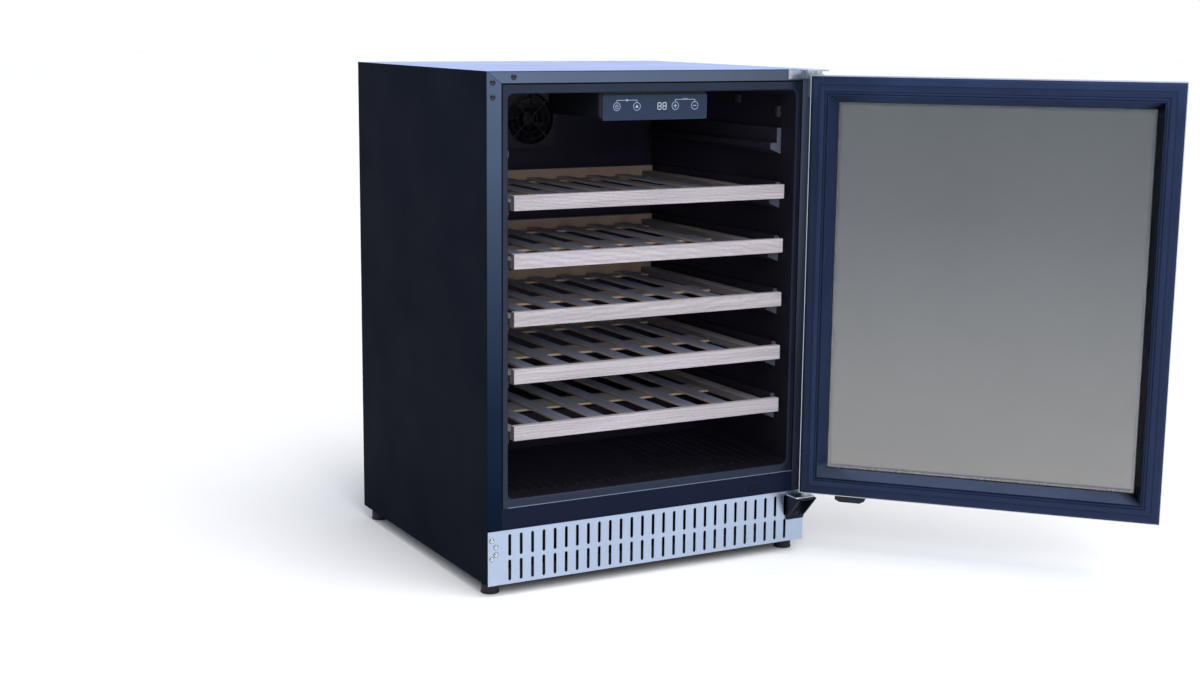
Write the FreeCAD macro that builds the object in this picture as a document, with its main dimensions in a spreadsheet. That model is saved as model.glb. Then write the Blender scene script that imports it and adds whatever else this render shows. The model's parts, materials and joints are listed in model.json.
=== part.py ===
"""Built-in wine cooler, 595 mm wide, for a gap under a worktop.

Frame: origin on the floor under the middle of the cabinet, +X to the right seen
from the front, the front faces -Y, +Z up.  The door stands open at rest.
"""
import FreeCAD, Part
import Sketcher
import math
import os

Vector = FreeCAD.Vector
Rotation = FreeCAD.Rotation

doc = FreeCAD.newDocument("wine_cooler")
sheet = doc.addObject("Spreadsheet::Sheet", "Dims")

DIMENSIONS = [
    # cabinet
    ("CabinetWidth", 595, "outside width"),
    ("CabinetDepth", 535, "outside depth without the door"),
    ("CabinetHeight", 820, "floor to top"),
    ("FootHeight", 20, "floor to cabinet underside"),
    ("SheetThick", 1, "casing sheet"),
    ("FlangeSide", 24, "front flange width at the sides"),
    ("FlangeTop", 18, "front flange height at the top"),
    ("RearFlange", 12, "rear flange width"),
    ("MitreOpen", 0.8, "open line along the flange mitre"),
    ("RimGap", 0.8, "open line round the liner's front rim"),
    ("KickTop", 108, "top of the kickplate"),
    ("KickThick", 1.2, "kickplate sheet"),
    ("ApronTop", 142.2, "top of the lower crossbar"),
    # cavity
    ("OpeningHalf", 261.5, "half the cavity width"),
    ("OpeningLow", 156, "cavity floor"),
    ("OpeningHigh", 786, "cavity ceiling"),
    ("OpeningRadius", 10, "cavity corner radius"),
    ("LinerWall", 1.5, "liner wall"),
    ("CavityBack", 208.5, "cavity back wall, row Y"),
    ("StepFront", 32, "front of the step over the compressor, row Y"),
    ("StepTop", 220, "top of that step"),
    ("FoamLow", 120, "underside of the insulation"),
    ("BayFront", 60, "front of the compressor bay, row Y"),
    ("BayTop", 196, "top of the compressor bay"),
    # kickplate slots
    ("SlotWide", 5, "slot width"),
    ("SlotPitch", 20, "slot spacing"),
    ("SlotCount", 27, "slots in a row"),
    ("SlotFirst", -260, "first slot, row X"),
    # rails and shelves
    ("RailFront", -225.5, "front end of the rails, row Y"),
    ("RailLong", 400, "rail length"),
    ("RailTall", 44, "rail height"),
    ("RailStrip", 8, "rail strip thickness"),
    ("RailFoot", 20.5, "rail foot width"),
    ("RailFootTop", 19, "rail foot height"),
    ("RailDrop", 43.3, "shelf top down to the rail's underside"),
    ("ShelfTop", 631.3, "top edge of the highest shelf"),
    ("ShelfPitch", 90.23, "shelf spacing"),
    ("ShelfFront", -259, "front face of the shelves, row Y"),
    ("ShelfHalf", 248, "half the shelf width"),
    ("BoardTall", 23.6, "front board height"),
    ("BoardThick", 12, "board thickness"),
    ("ShelfBack", 188.5, "rear face of the shelves, row Y"),
    ("SideRailWide", 23, "side rail width of a shelf"),
    ("SideRailTall", 12.6, "side rail height of a shelf"),
    ("SlatWide", 26, "slat width"),
    ("SlatPitch", 60, "slat spacing"),
    ("SlatThick", 4, "slat and crossbar thickness"),
    ("CrossbarBehind", 176, "front crossbar, from the front board"),
    ("CrossbarWide", 60, "front crossbar, front to back"),
    # door
    ("DoorWidth", 585, "door width"),
    ("DoorRight", 297, "hinge side edge of the closed door, row X"),
    ("DoorLow", 111, "bottom edge"),
    ("DoorHigh", 811, "top edge"),
    ("DoorStandoff", 3.2, "cabinet face to the closed door's inner face"),
    ("DoorThick", 42.4, "door thickness"),
    ("PivotX", 287.5, "hinge axis, row X"),
    ("PivotForward", 23, "hinge axis in front of the cabinet face"),
    ("DoorOpen", 133.3, "stored opening angle in degrees"),
    ("GlassInset", 43.4, "door edge to the visible glass"),
    ("GlassDeep", 22, "inner face down to the glass"),
    ("PinRadius", 4, "hinge pin"),
    ("PinClear", 0.06, "radial clearance of the pins in their bushes"),
]


class Size:
    """A number kept together with the sheet expression it comes from."""

    def __init__(self, value, text):
        self.value = float(value)
        self.text = text

    def __add__(self, other):
        other = size(other)
        return Size(self.value + other.value, f"({self.text} + {other.text})")

    def __sub__(self, other):
        other = size(other)
        return Size(self.value - other.value, f"({self.text} - {other.text})")

    def __mul__(self, other):
        other = size(other)
        return Size(self.value * other.value, f"({self.text} * {other.text})")

    def __truediv__(self, other):
        other = size(other)
        return Size(self.value / other.value, f"({self.text} / {other.text})")

    def __neg__(self):
        return Size(-self.value, f"(0 - {self.text})")

    __radd__ = __add__
    __rmul__ = __mul__

    def __rsub__(self, other):
        return size(other) - self


def size(amount):
    if isinstance(amount, Size):
        return amount
    return Size(amount, f"({float(amount):.6f})")


dims = {}
for row, (alias, number, note) in enumerate(DIMENSIONS, start=1):
    sheet.set(f"A{row}", alias)
    sheet.set(f"B{row}", str(number))
    sheet.setAlias(f"B{row}", alias)
    sheet.set(f"C{row}", note)
    dims[alias] = Size(number, f"Dims.{alias}")
doc.recompute()


# ---------------------------------------------------------------- builders
TURNS = {
    "X": Rotation(Vector(0, 1, 0), 90),
    "Y": Rotation(Vector(1, 0, 0), -90),
    "Z": Rotation(),
}


def bind(thing, prop, amount):
    thing.setExpression(prop, size(amount).text)


def place(thing, x, y, z):
    """Bind the three coordinates of a piece's placement."""
    bind(thing, "Placement.Base.x", x)
    bind(thing, "Placement.Base.y", y)
    bind(thing, "Placement.Base.z", z)


def block(name, x, y, z):
    """A box given by its (low, high) pairs."""
    box = doc.addObject("Part::Box", name)
    bind(box, "Length", size(x[1]) - x[0])
    bind(box, "Width", size(y[1]) - y[0])
    bind(box, "Height", size(z[1]) - z[0])
    place(box, x[0], y[0], z[0])
    return box


def rod(name, axis, start, radius, length):
    """A cylinder from its start point along a row axis."""
    cylinder = doc.addObject("Part::Cylinder", name)
    bind(cylinder, "Radius", radius)
    bind(cylinder, "Height", length)
    cylinder.Placement.Rotation = TURNS[axis]
    place(cylinder, *start)
    return cylinder


def taper(name, axis, start, radius, end_radius, length):
    """A cone from its start point along a row axis."""
    cone = doc.addObject("Part::Cone", name)
    bind(cone, "Radius1", radius)
    bind(cone, "Radius2", end_radius)
    bind(cone, "Height", length)
    cone.Placement.Rotation = TURNS[axis]
    place(cone, *start)
    return cone


def hoop(name, axis, centre, radius, wire):
    """A round wire ring."""
    torus = doc.addObject("Part::Torus", name)
    bind(torus, "Radius1", radius)
    bind(torus, "Radius2", wire)
    torus.Placement.Rotation = TURNS[axis]
    place(torus, *centre)
    return torus


def fuse(name, *pieces):
    joined = doc.addObject("Part::MultiFuse", name)
    joined.Shapes = list(pieces)
    joined.Refine = True
    return joined


def group(name, *pieces):
    """Separate solids that share one node."""
    held = doc.addObject("Part::Compound", name)
    held.Links = list(pieces)
    return held


def cut(name, base, *tools):
    trimmed = doc.addObject("Part::Cut", name)
    trimmed.Base = base
    trimmed.Tool = tools[0] if len(tools) == 1 else group(name + "_tools", *tools)
    trimmed.Refine = True
    return trimmed


def common(name, base, tool):
    kept = doc.addObject("Part::Common", name)
    kept.Base = base
    kept.Tool = tool
    return kept


def fix_point(profile, geometry, point, across, upward):
    """Tie one sketch point to the sketch origin by two bound distances."""
    for kind, amount in (("DistanceX", size(across)), ("DistanceY", size(upward))):
        index = profile.addConstraint(
            Sketcher.Constraint(kind, -1, 1, geometry, point, amount.value)
        )
        profile.setExpression(f"Constraints[{index}]", amount.text)


def fix_radius(profile, geometry, radius):
    radius = size(radius)
    index = profile.addConstraint(Sketcher.Constraint("Radius", geometry, radius.value))
    profile.setExpression(f"Constraints[{index}]", radius.text)


def draw_polygon(profile, points):
    points = [(size(a), size(b)) for a, b in points]
    first = profile.GeometryCount
    count = len(points)
    for i, (a, b) in enumerate(points):
        c, d = points[(i + 1) % count]
        line = Part.LineSegment(Vector(a.value, b.value), Vector(c.value, d.value))
        profile.addGeometry(line, False)
    for i, (a, b) in enumerate(points):
        following = first + (i + 1) % count
        profile.addConstraint(Sketcher.Constraint("Coincident", first + i, 2, following, 1))
        fix_point(profile, first + i, 1, a, b)


def draw_arc(profile, across, upward, radius, start_degrees):
    circle = Part.Circle(Vector(across.value, upward.value), Vector(0, 0, 1), radius.value)
    start = math.radians(start_degrees)
    return Part.ArcOfCircle(circle, start, start + math.pi / 2)


def draw_rounded(profile, left, low, right, high, radius):
    """A rectangle with round corners."""
    left, low, right, high, radius = map(size, (left, low, right, high, radius))
    first = profile.GeometryCount
    inner = (left + radius, low + radius, right - radius, high - radius)
    a, b, c, d = inner
    sides = [
        ((a, low), (c, low)),
        ((right, b), (right, d)),
        ((c, high), (a, high)),
        ((left, d), (left, b)),
    ]
    for (x0, y0), (x1, y1) in sides:
        line = Part.LineSegment(Vector(x0.value, y0.value), Vector(x1.value, y1.value))
        profile.addGeometry(line, False)
    corners = [(c, b, -90), (c, d, 0), (a, d, 90), (a, b, 180)]
    for across, upward, start in corners:
        profile.addGeometry(draw_arc(profile, across, upward, radius, start), False)
    for i, (across, upward, _) in enumerate(corners):
        arc = first + 4 + i
        profile.addConstraint(Sketcher.Constraint("Tangent", first + i, 2, arc, 1))
        profile.addConstraint(Sketcher.Constraint("Tangent", arc, 2, first + (i + 1) % 4, 1))
        fix_point(profile, arc, 3, across, upward)
        fix_radius(profile, arc, radius)


def draw_circle(profile, across, upward, radius):
    across, upward, radius = map(size, (across, upward, radius))
    index = profile.GeometryCount
    circle = Part.Circle(Vector(across.value, upward.value), Vector(0, 0, 1), radius.value)
    profile.addGeometry(circle, False)
    fix_point(profile, index, 3, across, upward)
    fix_radius(profile, index, radius)


def draw_slot(profile, across, low, high, width):
    """An upright slot with round ends."""
    across, low, high, radius = size(across), size(low), size(high), size(width) / 2
    first = profile.GeometryCount
    bottom, top = low + radius, high - radius
    left, right = across - radius, across + radius
    profile.addGeometry(
        Part.LineSegment(Vector(right.value, bottom.value), Vector(right.value, top.value)), False
    )
    circle = Part.Circle(Vector(across.value, top.value), Vector(0, 0, 1), radius.value)
    profile.addGeometry(Part.ArcOfCircle(circle, 0, math.pi), False)
    profile.addGeometry(
        Part.LineSegment(Vector(left.value, top.value), Vector(left.value, bottom.value)), False
    )
    circle = Part.Circle(Vector(across.value, bottom.value), Vector(0, 0, 1), radius.value)
    profile.addGeometry(Part.ArcOfCircle(circle, math.pi, 2 * math.pi), False)
    for i in range(4):
        following = first + (i + 1) % 4
        profile.addConstraint(Sketcher.Constraint("Tangent", first + i, 2, following, 1))
    fix_point(profile, first + 1, 3, across, top)
    fix_point(profile, first + 3, 3, across, bottom)
    fix_radius(profile, first + 1, radius)
    profile.addConstraint(Sketcher.Constraint("Equal", first + 1, first + 3))


DRAWERS = {
    "polygon": draw_polygon,
    "rounded": draw_rounded,
    "circle": draw_circle,
    "slot": draw_slot,
}


def sketch_on(body, plane, name, offset, outlines):
    """A sketch on one of the body's own planes, moved along the plane's normal."""
    profile = body.newObject("Sketcher::SketchObject", name)
    role = plane + "_Plane"
    base = [item for item in body.Origin.OriginFeatures if item.Role == role][0]
    profile.AttachmentSupport = [(base, "")]
    profile.MapMode = "FlatFace"
    bind(profile, "AttachmentOffset.Base.z", offset)
    for kind, *values in outlines:
        DRAWERS[kind](profile, *values)
    return profile


def prism(name, plane, low, high, *outlines):
    """Outlines swept straight from low to high along the plane's third axis."""
    body = doc.addObject("PartDesign::Body", name)
    body.AllowCompound = True
    low, high = size(low), size(high)
    offset = -high if plane == "XZ" else low
    profile = sketch_on(body, plane, name + "_profile", offset, outlines)
    pad = body.newObject("PartDesign::Pad", name + "_pad")
    pad.Profile = profile
    bind(pad, "Length", high - low)
    return body


def turned(name, centre, points):
    """A solid turned about a vertical axis through the centre."""
    body = doc.addObject("PartDesign::Body", name)
    profile = sketch_on(body, "XZ", name + "_profile", 0, [("polygon", points)])
    lathe = body.newObject("PartDesign::Revolution", name + "_turn")
    lathe.Profile = profile
    lathe.ReferenceAxis = (profile, ["V_Axis"])
    lathe.Angle = 360
    place(body, *centre)
    return body


def round_front(body, radius):
    """Round the edges of the face that looks forward, towards -Y."""
    doc.recompute()
    solid = body.Tip
    faces = enumerate(solid.Shape.Faces, start=1)
    number = min(faces, key=lambda item: item[1].CenterOfMass.y)[0]
    fillet = body.newObject("PartDesign::Fillet", body.Name + "_round")
    fillet.Base = (solid, [f"Face{number}"])
    bind(fillet, "Radius", radius)
    return body


def mirrored(side, near, far):
    """The X pair from near to far out from the middle, on the left (-1) or the right (1)."""
    return (near, far) if side > 0 else (-size(far), -size(near))


def frustum(name, x, y, z, inset):
    """A block whose front (low Y) end is inset on its four sides; inset may be negative."""
    wedge = doc.addObject("Part::Wedge", name)
    inset = size(inset)
    for prop, amount in (
        ("Xmin", size(x[0]) + inset),
        ("Xmax", size(x[1]) - inset),
        ("Ymin", y[0]),
        ("Ymax", y[1]),
        ("Zmin", size(z[0]) + inset),
        ("Zmax", size(z[1]) - inset),
        ("X2min", x[0]),
        ("X2max", x[1]),
        ("Z2min", z[0]),
        ("Z2max", z[1]),
    ):
        bind(wedge, prop, amount)
    return wedge


# ---------------------------------------------------------------- names for the main planes
half = dims["CabinetWidth"] / 2
front = -(dims["CabinetDepth"] / 2)
back = dims["CabinetDepth"] / 2
top = dims["CabinetHeight"]
floor = dims["FootHeight"]
skin = dims["SheetThick"]
inner_half = half - skin
kick_front = front - dims["KickThick"]
pivot_y = front - dims["PivotForward"]
nodes = []


def node(piece):
    nodes.append(piece)
    return piece


# hinge fixing holes (distance out from the middle, height); the left ones are spare
UPPER_HOLES = [(253, 811), (288, 803), (288, 781)]
LOWER_HOLES = [(291, 93.6), (284, 82.5), (284, 70.4), (291, 63.9)]
UPPER_HOLE_RADIUS = 2.2
LOWER_HOLE_RADIUS = 2.1


def drills(name, side, holes, radius, y_low, y_high):
    """Cylinders along Y through one set of fixing holes."""
    return [
        rod(f"{name}_{i}", "Y", (side * across, y_low, height), radius, size(y_high) - y_low)
        for i, (across, height) in enumerate(holes)
    ]


# ---------------------------------------------------------------- casing
mitre_slope = dims["FlangeTop"] / dims["FlangeSide"]


def side_panel(name, side):
    wall = block(name + "_wall", mirrored(side, inner_half, half), (front, back), (floor, top))
    flange_edge = half - dims["FlangeSide"]
    flange_high = top - dims["FlangeTop"] - dims["MitreOpen"]
    corner_high = top - skin * mitre_slope - dims["MitreOpen"]
    flange = prism(
        name + "_front_flange", "XZ", front, front + skin,
        ("polygon", [
            (side * inner_half, floor),
            (side * flange_edge, floor),
            (side * flange_edge, flange_high),
            (side * inner_half, corner_high),
        ]),
    )
    rear = block(
        name + "_rear_flange",
        mirrored(side, half - dims["RearFlange"], inner_half),
        (back - 2 * skin, back - skin),
        (floor, top - skin),
    )
    solid = fuse(name + "_sheet", wall, flange, rear)
    holes = drills(name + "_upper", side, UPPER_HOLES[1:], UPPER_HOLE_RADIUS, front - 1, front + 3)
    holes += drills(name + "_lower", side, LOWER_HOLES, LOWER_HOLE_RADIUS, front - 1, front + 3)
    return cut(name, solid, *holes)


node(side_panel("side_panel_left", -1))
node(side_panel("side_panel_right", 1))

flange_inner = half - dims["FlangeSide"]
top_sheet = block("top_sheet", (-inner_half, inner_half), (front, back), (top - skin, top))
top_flange = prism(
    "top_front_flange", "XZ", front, front + skin,
    ("polygon", [
        (-inner_half, top - skin),
        (-flange_inner, top - dims["FlangeTop"]),
        (flange_inner, top - dims["FlangeTop"]),
        (inner_half, top - skin),
    ]),
)
top_rear = block(
    "top_rear_flange",
    (-(half - dims["RearFlange"] - 0.5), half - dims["RearFlange"] - 0.5),
    (back - 2 * skin, back - skin),
    (top - dims["RearFlange"], top - skin),
)
top_holes = drills("top_hole_left", -1, UPPER_HOLES[:1], UPPER_HOLE_RADIUS, front - 1, front + 3)
top_holes += drills("top_hole_right", 1, UPPER_HOLES[:1], UPPER_HOLE_RADIUS, front - 1, front + 3)
node(cut("top_panel", fuse("top_panel_sheet", top_sheet, top_flange, top_rear), *top_holes))

grille_top = dims["BayTop"] + 28
node(block(
    "back_panel", (-inner_half, inner_half), (back - skin, back), (grille_top + 0.5, top - skin)
))

tray_high = floor + 1.5
tray_half = inner_half - 0.2
tray_plate = block("tray_plate", (-tray_half, tray_half), (front + 1.2, back - 2.2), (floor, tray_high))
tray_front = block(
    "tray_front", (-tray_half, tray_half), (front + 1.2, front + 2.4), (tray_high, floor + 25)
)
tray_rear = block(
    "tray_rear", (-tray_half, tray_half), (back - 3.4, back - 2.2), (tray_high, floor + 16)
)
FOOT_PLACES = [(-279, -235.5), (279, -235.5), (-279, 237.5), (279, 237.5)]
STUD_RADIUS = 5
tray_holes = [
    rod(f"tray_hole_{i}", "Z", (x, y, floor - 1), STUD_RADIUS + 0.3, 4)
    for i, (x, y) in enumerate(FOOT_PLACES)
]
node(cut("base_tray", fuse("tray_sheet", tray_plate, tray_front, tray_rear), *tray_holes))

apron_half = flange_inner - 0.2
apron_face = block(
    "apron_face", (-apron_half, apron_half), (front + 0.5, front + 1.7), (dims["KickTop"], dims["ApronTop"])
)
apron_return = block(
    "apron_return", (-apron_half, apron_half), (front + 1.7, front + 32),
    (dims["KickTop"], dims["KickTop"] + 1.2),
)
SENSOR_X = (184.5, 213.5)
SENSOR_Z = (116.5, 124.5)
sensor_hole = block("sensor_hole", SENSOR_X, (front - 1, front + 3), SENSOR_Z)
node(cut("lower_crossbar", fuse("apron_sheet", apron_face, apron_return), sensor_hole))
sensor_x = (SENSOR_X[0] + 0.2, SENSOR_X[1] - 0.2)
sensor_z = (SENSOR_Z[0] + 0.2, SENSOR_Z[1] - 0.2)
sensor_case = block("sensor_case", sensor_x, (front + 0.1, front + 12), sensor_z)
sensor_dish = block(
    "sensor_dish", (sensor_x[0] + 2, sensor_x[1] - 2), (front - 1, front + 0.9),
    (sensor_z[0] + 1.5, sensor_z[1] - 1.5),
)
node(cut("door_sensor", sensor_case, sensor_dish))

# ---------------------------------------------------------------- liner and insulation
wall = dims["LinerWall"]
cavity_half = dims["OpeningHalf"]
cavity_low = dims["OpeningLow"]
cavity_high = dims["OpeningHigh"]
cavity_radius = dims["OpeningRadius"]


def cavity_block(name, grow, y_low, y_high):
    """The cavity's space, grown by a wall thickness."""
    tube = prism(
        name + "_tube", "XZ", y_low, y_high,
        ("rounded", -(cavity_half + grow), cavity_low - grow, cavity_half + grow,
         cavity_high + grow, cavity_radius + grow),
    )
    step = block(
        name + "_step",
        (-(cavity_half + 20), cavity_half + 20),
        (dims["StepFront"] + grow, back),
        (cavity_low - 20, dims["StepTop"] - grow),
    )
    return cut(name, tube, step)


liner_outside = cavity_block("liner_outside", wall, front, dims["CavityBack"] + wall)
liner_inside = cavity_block("liner_inside", 0, front - 1, dims["CavityBack"])
rim_half = flange_inner - dims["RimGap"]
liner_rim = block(
    "liner_rim", (-rim_half, rim_half), (front, front + wall),
    (dims["ApronTop"] + 0.2, top - dims["FlangeTop"] - dims["RimGap"]),
)
liner_lip = block(
    "liner_lip", (-262.9, 271.9), (front - 0.8, front),
    (dims["ApronTop"] + 0.2, dims["ApronTop"] + 1.6),
)
FLOOR_RIBS = 25
floor_ribs = prism(
    "floor_ribs", "XY", cavity_low - 0.5, cavity_low + 1.5,
    *[
        ("slot", 20 * i - 10 * (FLOOR_RIBS - 1), front + 40, dims["StepFront"] - 12, 5)
        for i in range(FLOOR_RIBS)
    ],
)
liner_shell = cut(
    "liner_shell", fuse("liner_blank", liner_outside, liner_rim, liner_lip), liner_inside
)
node(fuse("liner", liner_shell, floor_ribs))

foam_block = block(
    "foam_block", (-inner_half, inner_half), (front + 2 * skin, back - 2 * skin),
    (dims["FoamLow"], top - skin),
)
compressor_bay = block(
    "compressor_bay", (-half, half), (dims["BayFront"], back + 1), (dims["FoamLow"] - 1, dims["BayTop"])
)
EVAPORATOR_HALF = 200
evaporator_x = (-EVAPORATOR_HALF, EVAPORATOR_HALF)
evaporator_y = (dims["CavityBack"] + wall, dims["CavityBack"] + wall + 1.6)
evaporator_z = (300, 760)
foam_tools = [
    compressor_bay,
    liner_outside,
    block("evaporator_space", evaporator_x, evaporator_y, evaporator_z),
    block("sensor_space", (SENSOR_X[0] - 3, SENSOR_X[1] + 3), (front, front + 16), (100, 130)),
]
for side in (-1, 1):
    foam_tools += drills(f"foam_hole_{side + 1}", side, UPPER_HOLES, 3, front, front + 16)
node(cut("foam_body", foam_block, *foam_tools))
node(block("evaporator_plate", evaporator_x, evaporator_y, evaporator_z))

# ---------------------------------------------------------------- kickplate and rear grille


def slotted_sheet(name, x, y, z, radius, first, pitch, count, width, rows, holes):
    """A flat sheet with rows of upright slots and a few round holes."""
    body = prism(name, "XZ", y[0], y[1], ("rounded", x[0], z[0], x[1], z[1], radius))
    for number, (low, high) in enumerate(rows):
        profile = sketch_on(
            body, "XZ", f"{name}_slot_{number}", -size(y[0]), [("slot", first, low, high, width)]
        )
        pocket = body.newObject("PartDesign::Pocket", f"{name}_pocket_{number}")
        pocket.Profile = profile
        pocket.Type = "ThroughAll"
        pocket.Midplane = True
        pattern = body.newObject("PartDesign::LinearPattern", f"{name}_pattern_{number}")
        pattern.Originals = [pocket]
        pattern.Direction = (profile, ["H_Axis"])
        pattern.Mode = "Spacing"
        bind(pattern, "Offset", pitch)
        bind(pattern, "Occurrences", count)
        body.Tip = pattern
    if holes:
        profile = sketch_on(
            body, "XZ", name + "_hole_centres", -size(y[0]), [("circle", *hole) for hole in holes]
        )
        pocket = body.newObject("PartDesign::Pocket", name + "_holes")
        pocket.Profile = profile
        pocket.Type = "ThroughAll"
        pocket.Midplane = True
        body.Tip = pocket
    return body


kick_holes = [
    (side * across, height, LOWER_HOLE_RADIUS) for side in (-1, 1) for across, height in LOWER_HOLES
]
node(slotted_sheet(
    "kickplate", (-half, half), (kick_front, front), (floor, dims["KickTop"]), 5,
    dims["SlotFirst"], dims["SlotPitch"], dims["SlotCount"], dims["SlotWide"],
    [(25.5, 59.5), (66, 101)], kick_holes,
))

GRILLE_COUNT = 22
grille_sheet = slotted_sheet(
    "rear_grille_sheet", (-(inner_half - 0.3), inner_half - 0.3), (back - skin, back),
    (tray_high, grille_top), 2, -270, 20, GRILLE_COUNT, 6, [(50, 110), (130, 190)], [],
)
GLAND_X = 221
GLAND_Z = 76
GLAND_RADIUS = 9
gland_hole = rod("gland_hole", "Y", (GLAND_X, back - 3, GLAND_Z), GLAND_RADIUS + 0.2, 6)
node(cut("rear_grille", grille_sheet, gland_hole))
node(fuse(
    "cord_gland",
    rod("gland_body", "Y", (GLAND_X, back - 14, GLAND_Z), GLAND_RADIUS, 14),
    rod("gland_flange", "Y", (GLAND_X, back, GLAND_Z), 14, 2.5),
    taper("gland_nose", "Y", (GLAND_X, back + 2.5, GLAND_Z), 8, 5.5, 6),
))

# ---------------------------------------------------------------- feet


def foot(number, x, y):
    pad = taper(f"foot_pad_{number}", "Z", (x, y, 0), 15, 14.2, 3)
    drum = rod(f"foot_drum_{number}", "Z", (x, y, 3), 14.2, 12)
    collar = rod(f"foot_collar_{number}", "Z", (x, y, 15), 9, floor - 15.3)
    stud = rod(f"foot_stud_{number}", "Z", (x, y, 15), STUD_RADIUS, 19)
    return fuse(f"foot_{number}", pad, drum, collar, stud)


node(group("levelling_feet", *[foot(i, x, y) for i, (x, y) in enumerate(FOOT_PLACES)]))

# ---------------------------------------------------------------- shelf rails and shelves
RAIL_COUNT = 6
SHELF_COUNT = 5


def rail_outline(side, low):
    """Rail section: an upright strip on the wall over a foot with a sloping underside."""
    strip = side * (cavity_half - dims["RailStrip"])
    edge = side * (cavity_half - dims["RailFoot"])
    outside = side * cavity_half
    return ("polygon", [
        (outside, low),
        (edge, low + 9),
        (edge, low + dims["RailFootTop"]),
        (strip, low + dims["RailFootTop"]),
        (strip, low + dims["RailTall"]),
        (outside, low + dims["RailTall"]),
    ])


for side, name in ((-1, "shelf_rails_left"), (1, "shelf_rails_right")):
    lows = [
        dims["ShelfTop"] - dims["RailDrop"] + dims["ShelfPitch"] * (1 - i) for i in range(RAIL_COUNT)
    ]
    node(prism(
        name, "XZ", dims["RailFront"], dims["RailFront"] + dims["RailLong"],
        *[rail_outline(side, low) for low in lows],
    ))

board = dims["BoardThick"]
slat = dims["SlatThick"]
shelf_half = dims["ShelfHalf"]
SLATS = 7
side_wide = dims["SideRailWide"]
JOINT = 0.1  # hairline between the glued pieces of one frame


def shelf(number):
    """Front board, frame (two side rails, rear rail, two crossbars) and slats of one shelf."""
    name = f"shelf_{number}"
    high = dims["ShelfTop"] - dims["ShelfPitch"] * (number - 1)
    low = high - dims["BoardTall"]
    y_front = dims["ShelfFront"]
    y_back = dims["ShelfBack"]
    front_board = prism(
        name + "_front_board", "XZ", y_front, y_front + board,
        ("rounded", -shelf_half, low, shelf_half, high, 1.2),
    )
    node(round_front(front_board, 0.8))
    y_inside = y_front + board
    sides = prism(
        name + "_side_rails", "XZ", y_inside, y_back - board - JOINT,
        ("rounded", -shelf_half, low, -(shelf_half - side_wide), low + dims["SideRailTall"], 1.2),
        ("rounded", shelf_half - side_wide, low, shelf_half, low + dims["SideRailTall"], 1.2),
    )
    rear = prism(
        name + "_rear_rail", "XZ", y_back - board, y_back,
        ("rounded", -shelf_half, low, shelf_half, high - 1.3, 1.2),
    )
    bars = prism(
        name + "_crossbars", "YZ", -(shelf_half - side_wide - JOINT), shelf_half - side_wide - JOINT,
        (
            "rounded", y_inside + dims["CrossbarBehind"], low,
            y_inside + dims["CrossbarBehind"] + dims["CrossbarWide"], low + slat, 1,
        ),
        ("rounded", y_back - board - 30, low, y_back - board - JOINT, low + slat, 1),
    )
    node(group(name + "_frame", sides, rear, bars))
    outlines = []
    for i in range(SLATS):
        centre = dims["SlatPitch"] * (i - (SLATS - 1) / 2)
        outlines.append((
            "rounded", centre - dims["SlatWide"] / 2, low + slat, centre + dims["SlatWide"] / 2,
            low + 2 * slat, 1.2,
        ))
    node(prism(name + "_slats", "XZ", y_inside, y_back - board, *outlines))


for number in range(1, SHELF_COUNT + 1):
    shelf(number)

# ---------------------------------------------------------------- fans


def fan(prefix, centre, reach, depth, blades, guarded):
    """A square fan frame with its hub struts, and the impeller that turns in it about Y."""
    x, y, z = centre
    edge = reach + 6
    plate = prism(
        prefix + "_frame_plate", "XZ", y, y + depth,
        ("rounded", x - edge, z - edge, x + edge, z + edge, 9),
        ("circle", x, z, reach),
    )
    hub_seat = rod(prefix + "_hub_seat", "Y", (x, y + depth - 2, z), 15, 2)
    struts = [
        block(prefix + "_strut_up", (x - 3, x + 3), (y + depth - 2, y + depth), (z - edge + 2, z + edge - 2)),
        block(prefix + "_strut_across", (x - edge + 2, x + edge - 2), (y + depth - 2, y + depth), (z - 3, z + 3)),
    ]
    pieces = [plate, hub_seat] + struts
    if guarded:
        rings = [hoop(f"{prefix}_ring_{i}", "Y", (x, y, z), reach * share, 1.1)
                 for i, share in enumerate((0.3, 0.55, 0.8))]
        spokes = []
        for i, angle in enumerate((45, 135)):
            spoke = doc.addObject("Part::Box", f"{prefix}_spoke_{i}")
            bind(spoke, "Length", 2 * (size(reach) + 1))
            bind(spoke, "Width", 1.6)
            bind(spoke, "Height", 2)
            turn = Rotation(Vector(0, 1, 0), angle)
            offset = turn.multVec(Vector(-(reach + 1), -0.8, -1))
            spoke.Placement.Rotation = turn
            place(spoke, x + offset.x, y + offset.y, z + offset.z)
            spokes.append(spoke)
        pieces += rings + spokes
    node(fuse(prefix + "_fan_frame", *pieces))

    hub = rod(prefix + "_hub", "Y", (x, y + 3, z), 14, depth - 6)
    vanes = []
    for i in range(blades):
        vane = doc.addObject("Part::Box", f"{prefix}_vane_{i}")
        long = reach - 2 - 11
        chord = reach * 0.32
        bind(vane, "Length", long)
        bind(vane, "Width", 1.5)
        bind(vane, "Height", chord)
        pitch = Rotation(Vector(1, 0, 0), 48)
        around = Rotation(Vector(0, 1, 0), 360 * i / blades)
        turn = around.multiply(pitch)
        offset = turn.multVec(Vector(11, -0.75, -chord / 2))
        vane.Placement.Rotation = turn
        place(vane, x + offset.x, y + depth / 2 + offset.y, z + offset.z)
        vanes.append(vane)
    node(fuse(prefix + "_impeller", hub, *vanes))


CIRCULATION_DEPTH = 18
fan("circulation", (0, dims["CavityBack"] - CIRCULATION_DEPTH, 720), 46, CIRCULATION_DEPTH, 7, True)
fan("condenser", (110, dims["BayFront"] + 24, 104), 55, 25, 7, False)

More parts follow.
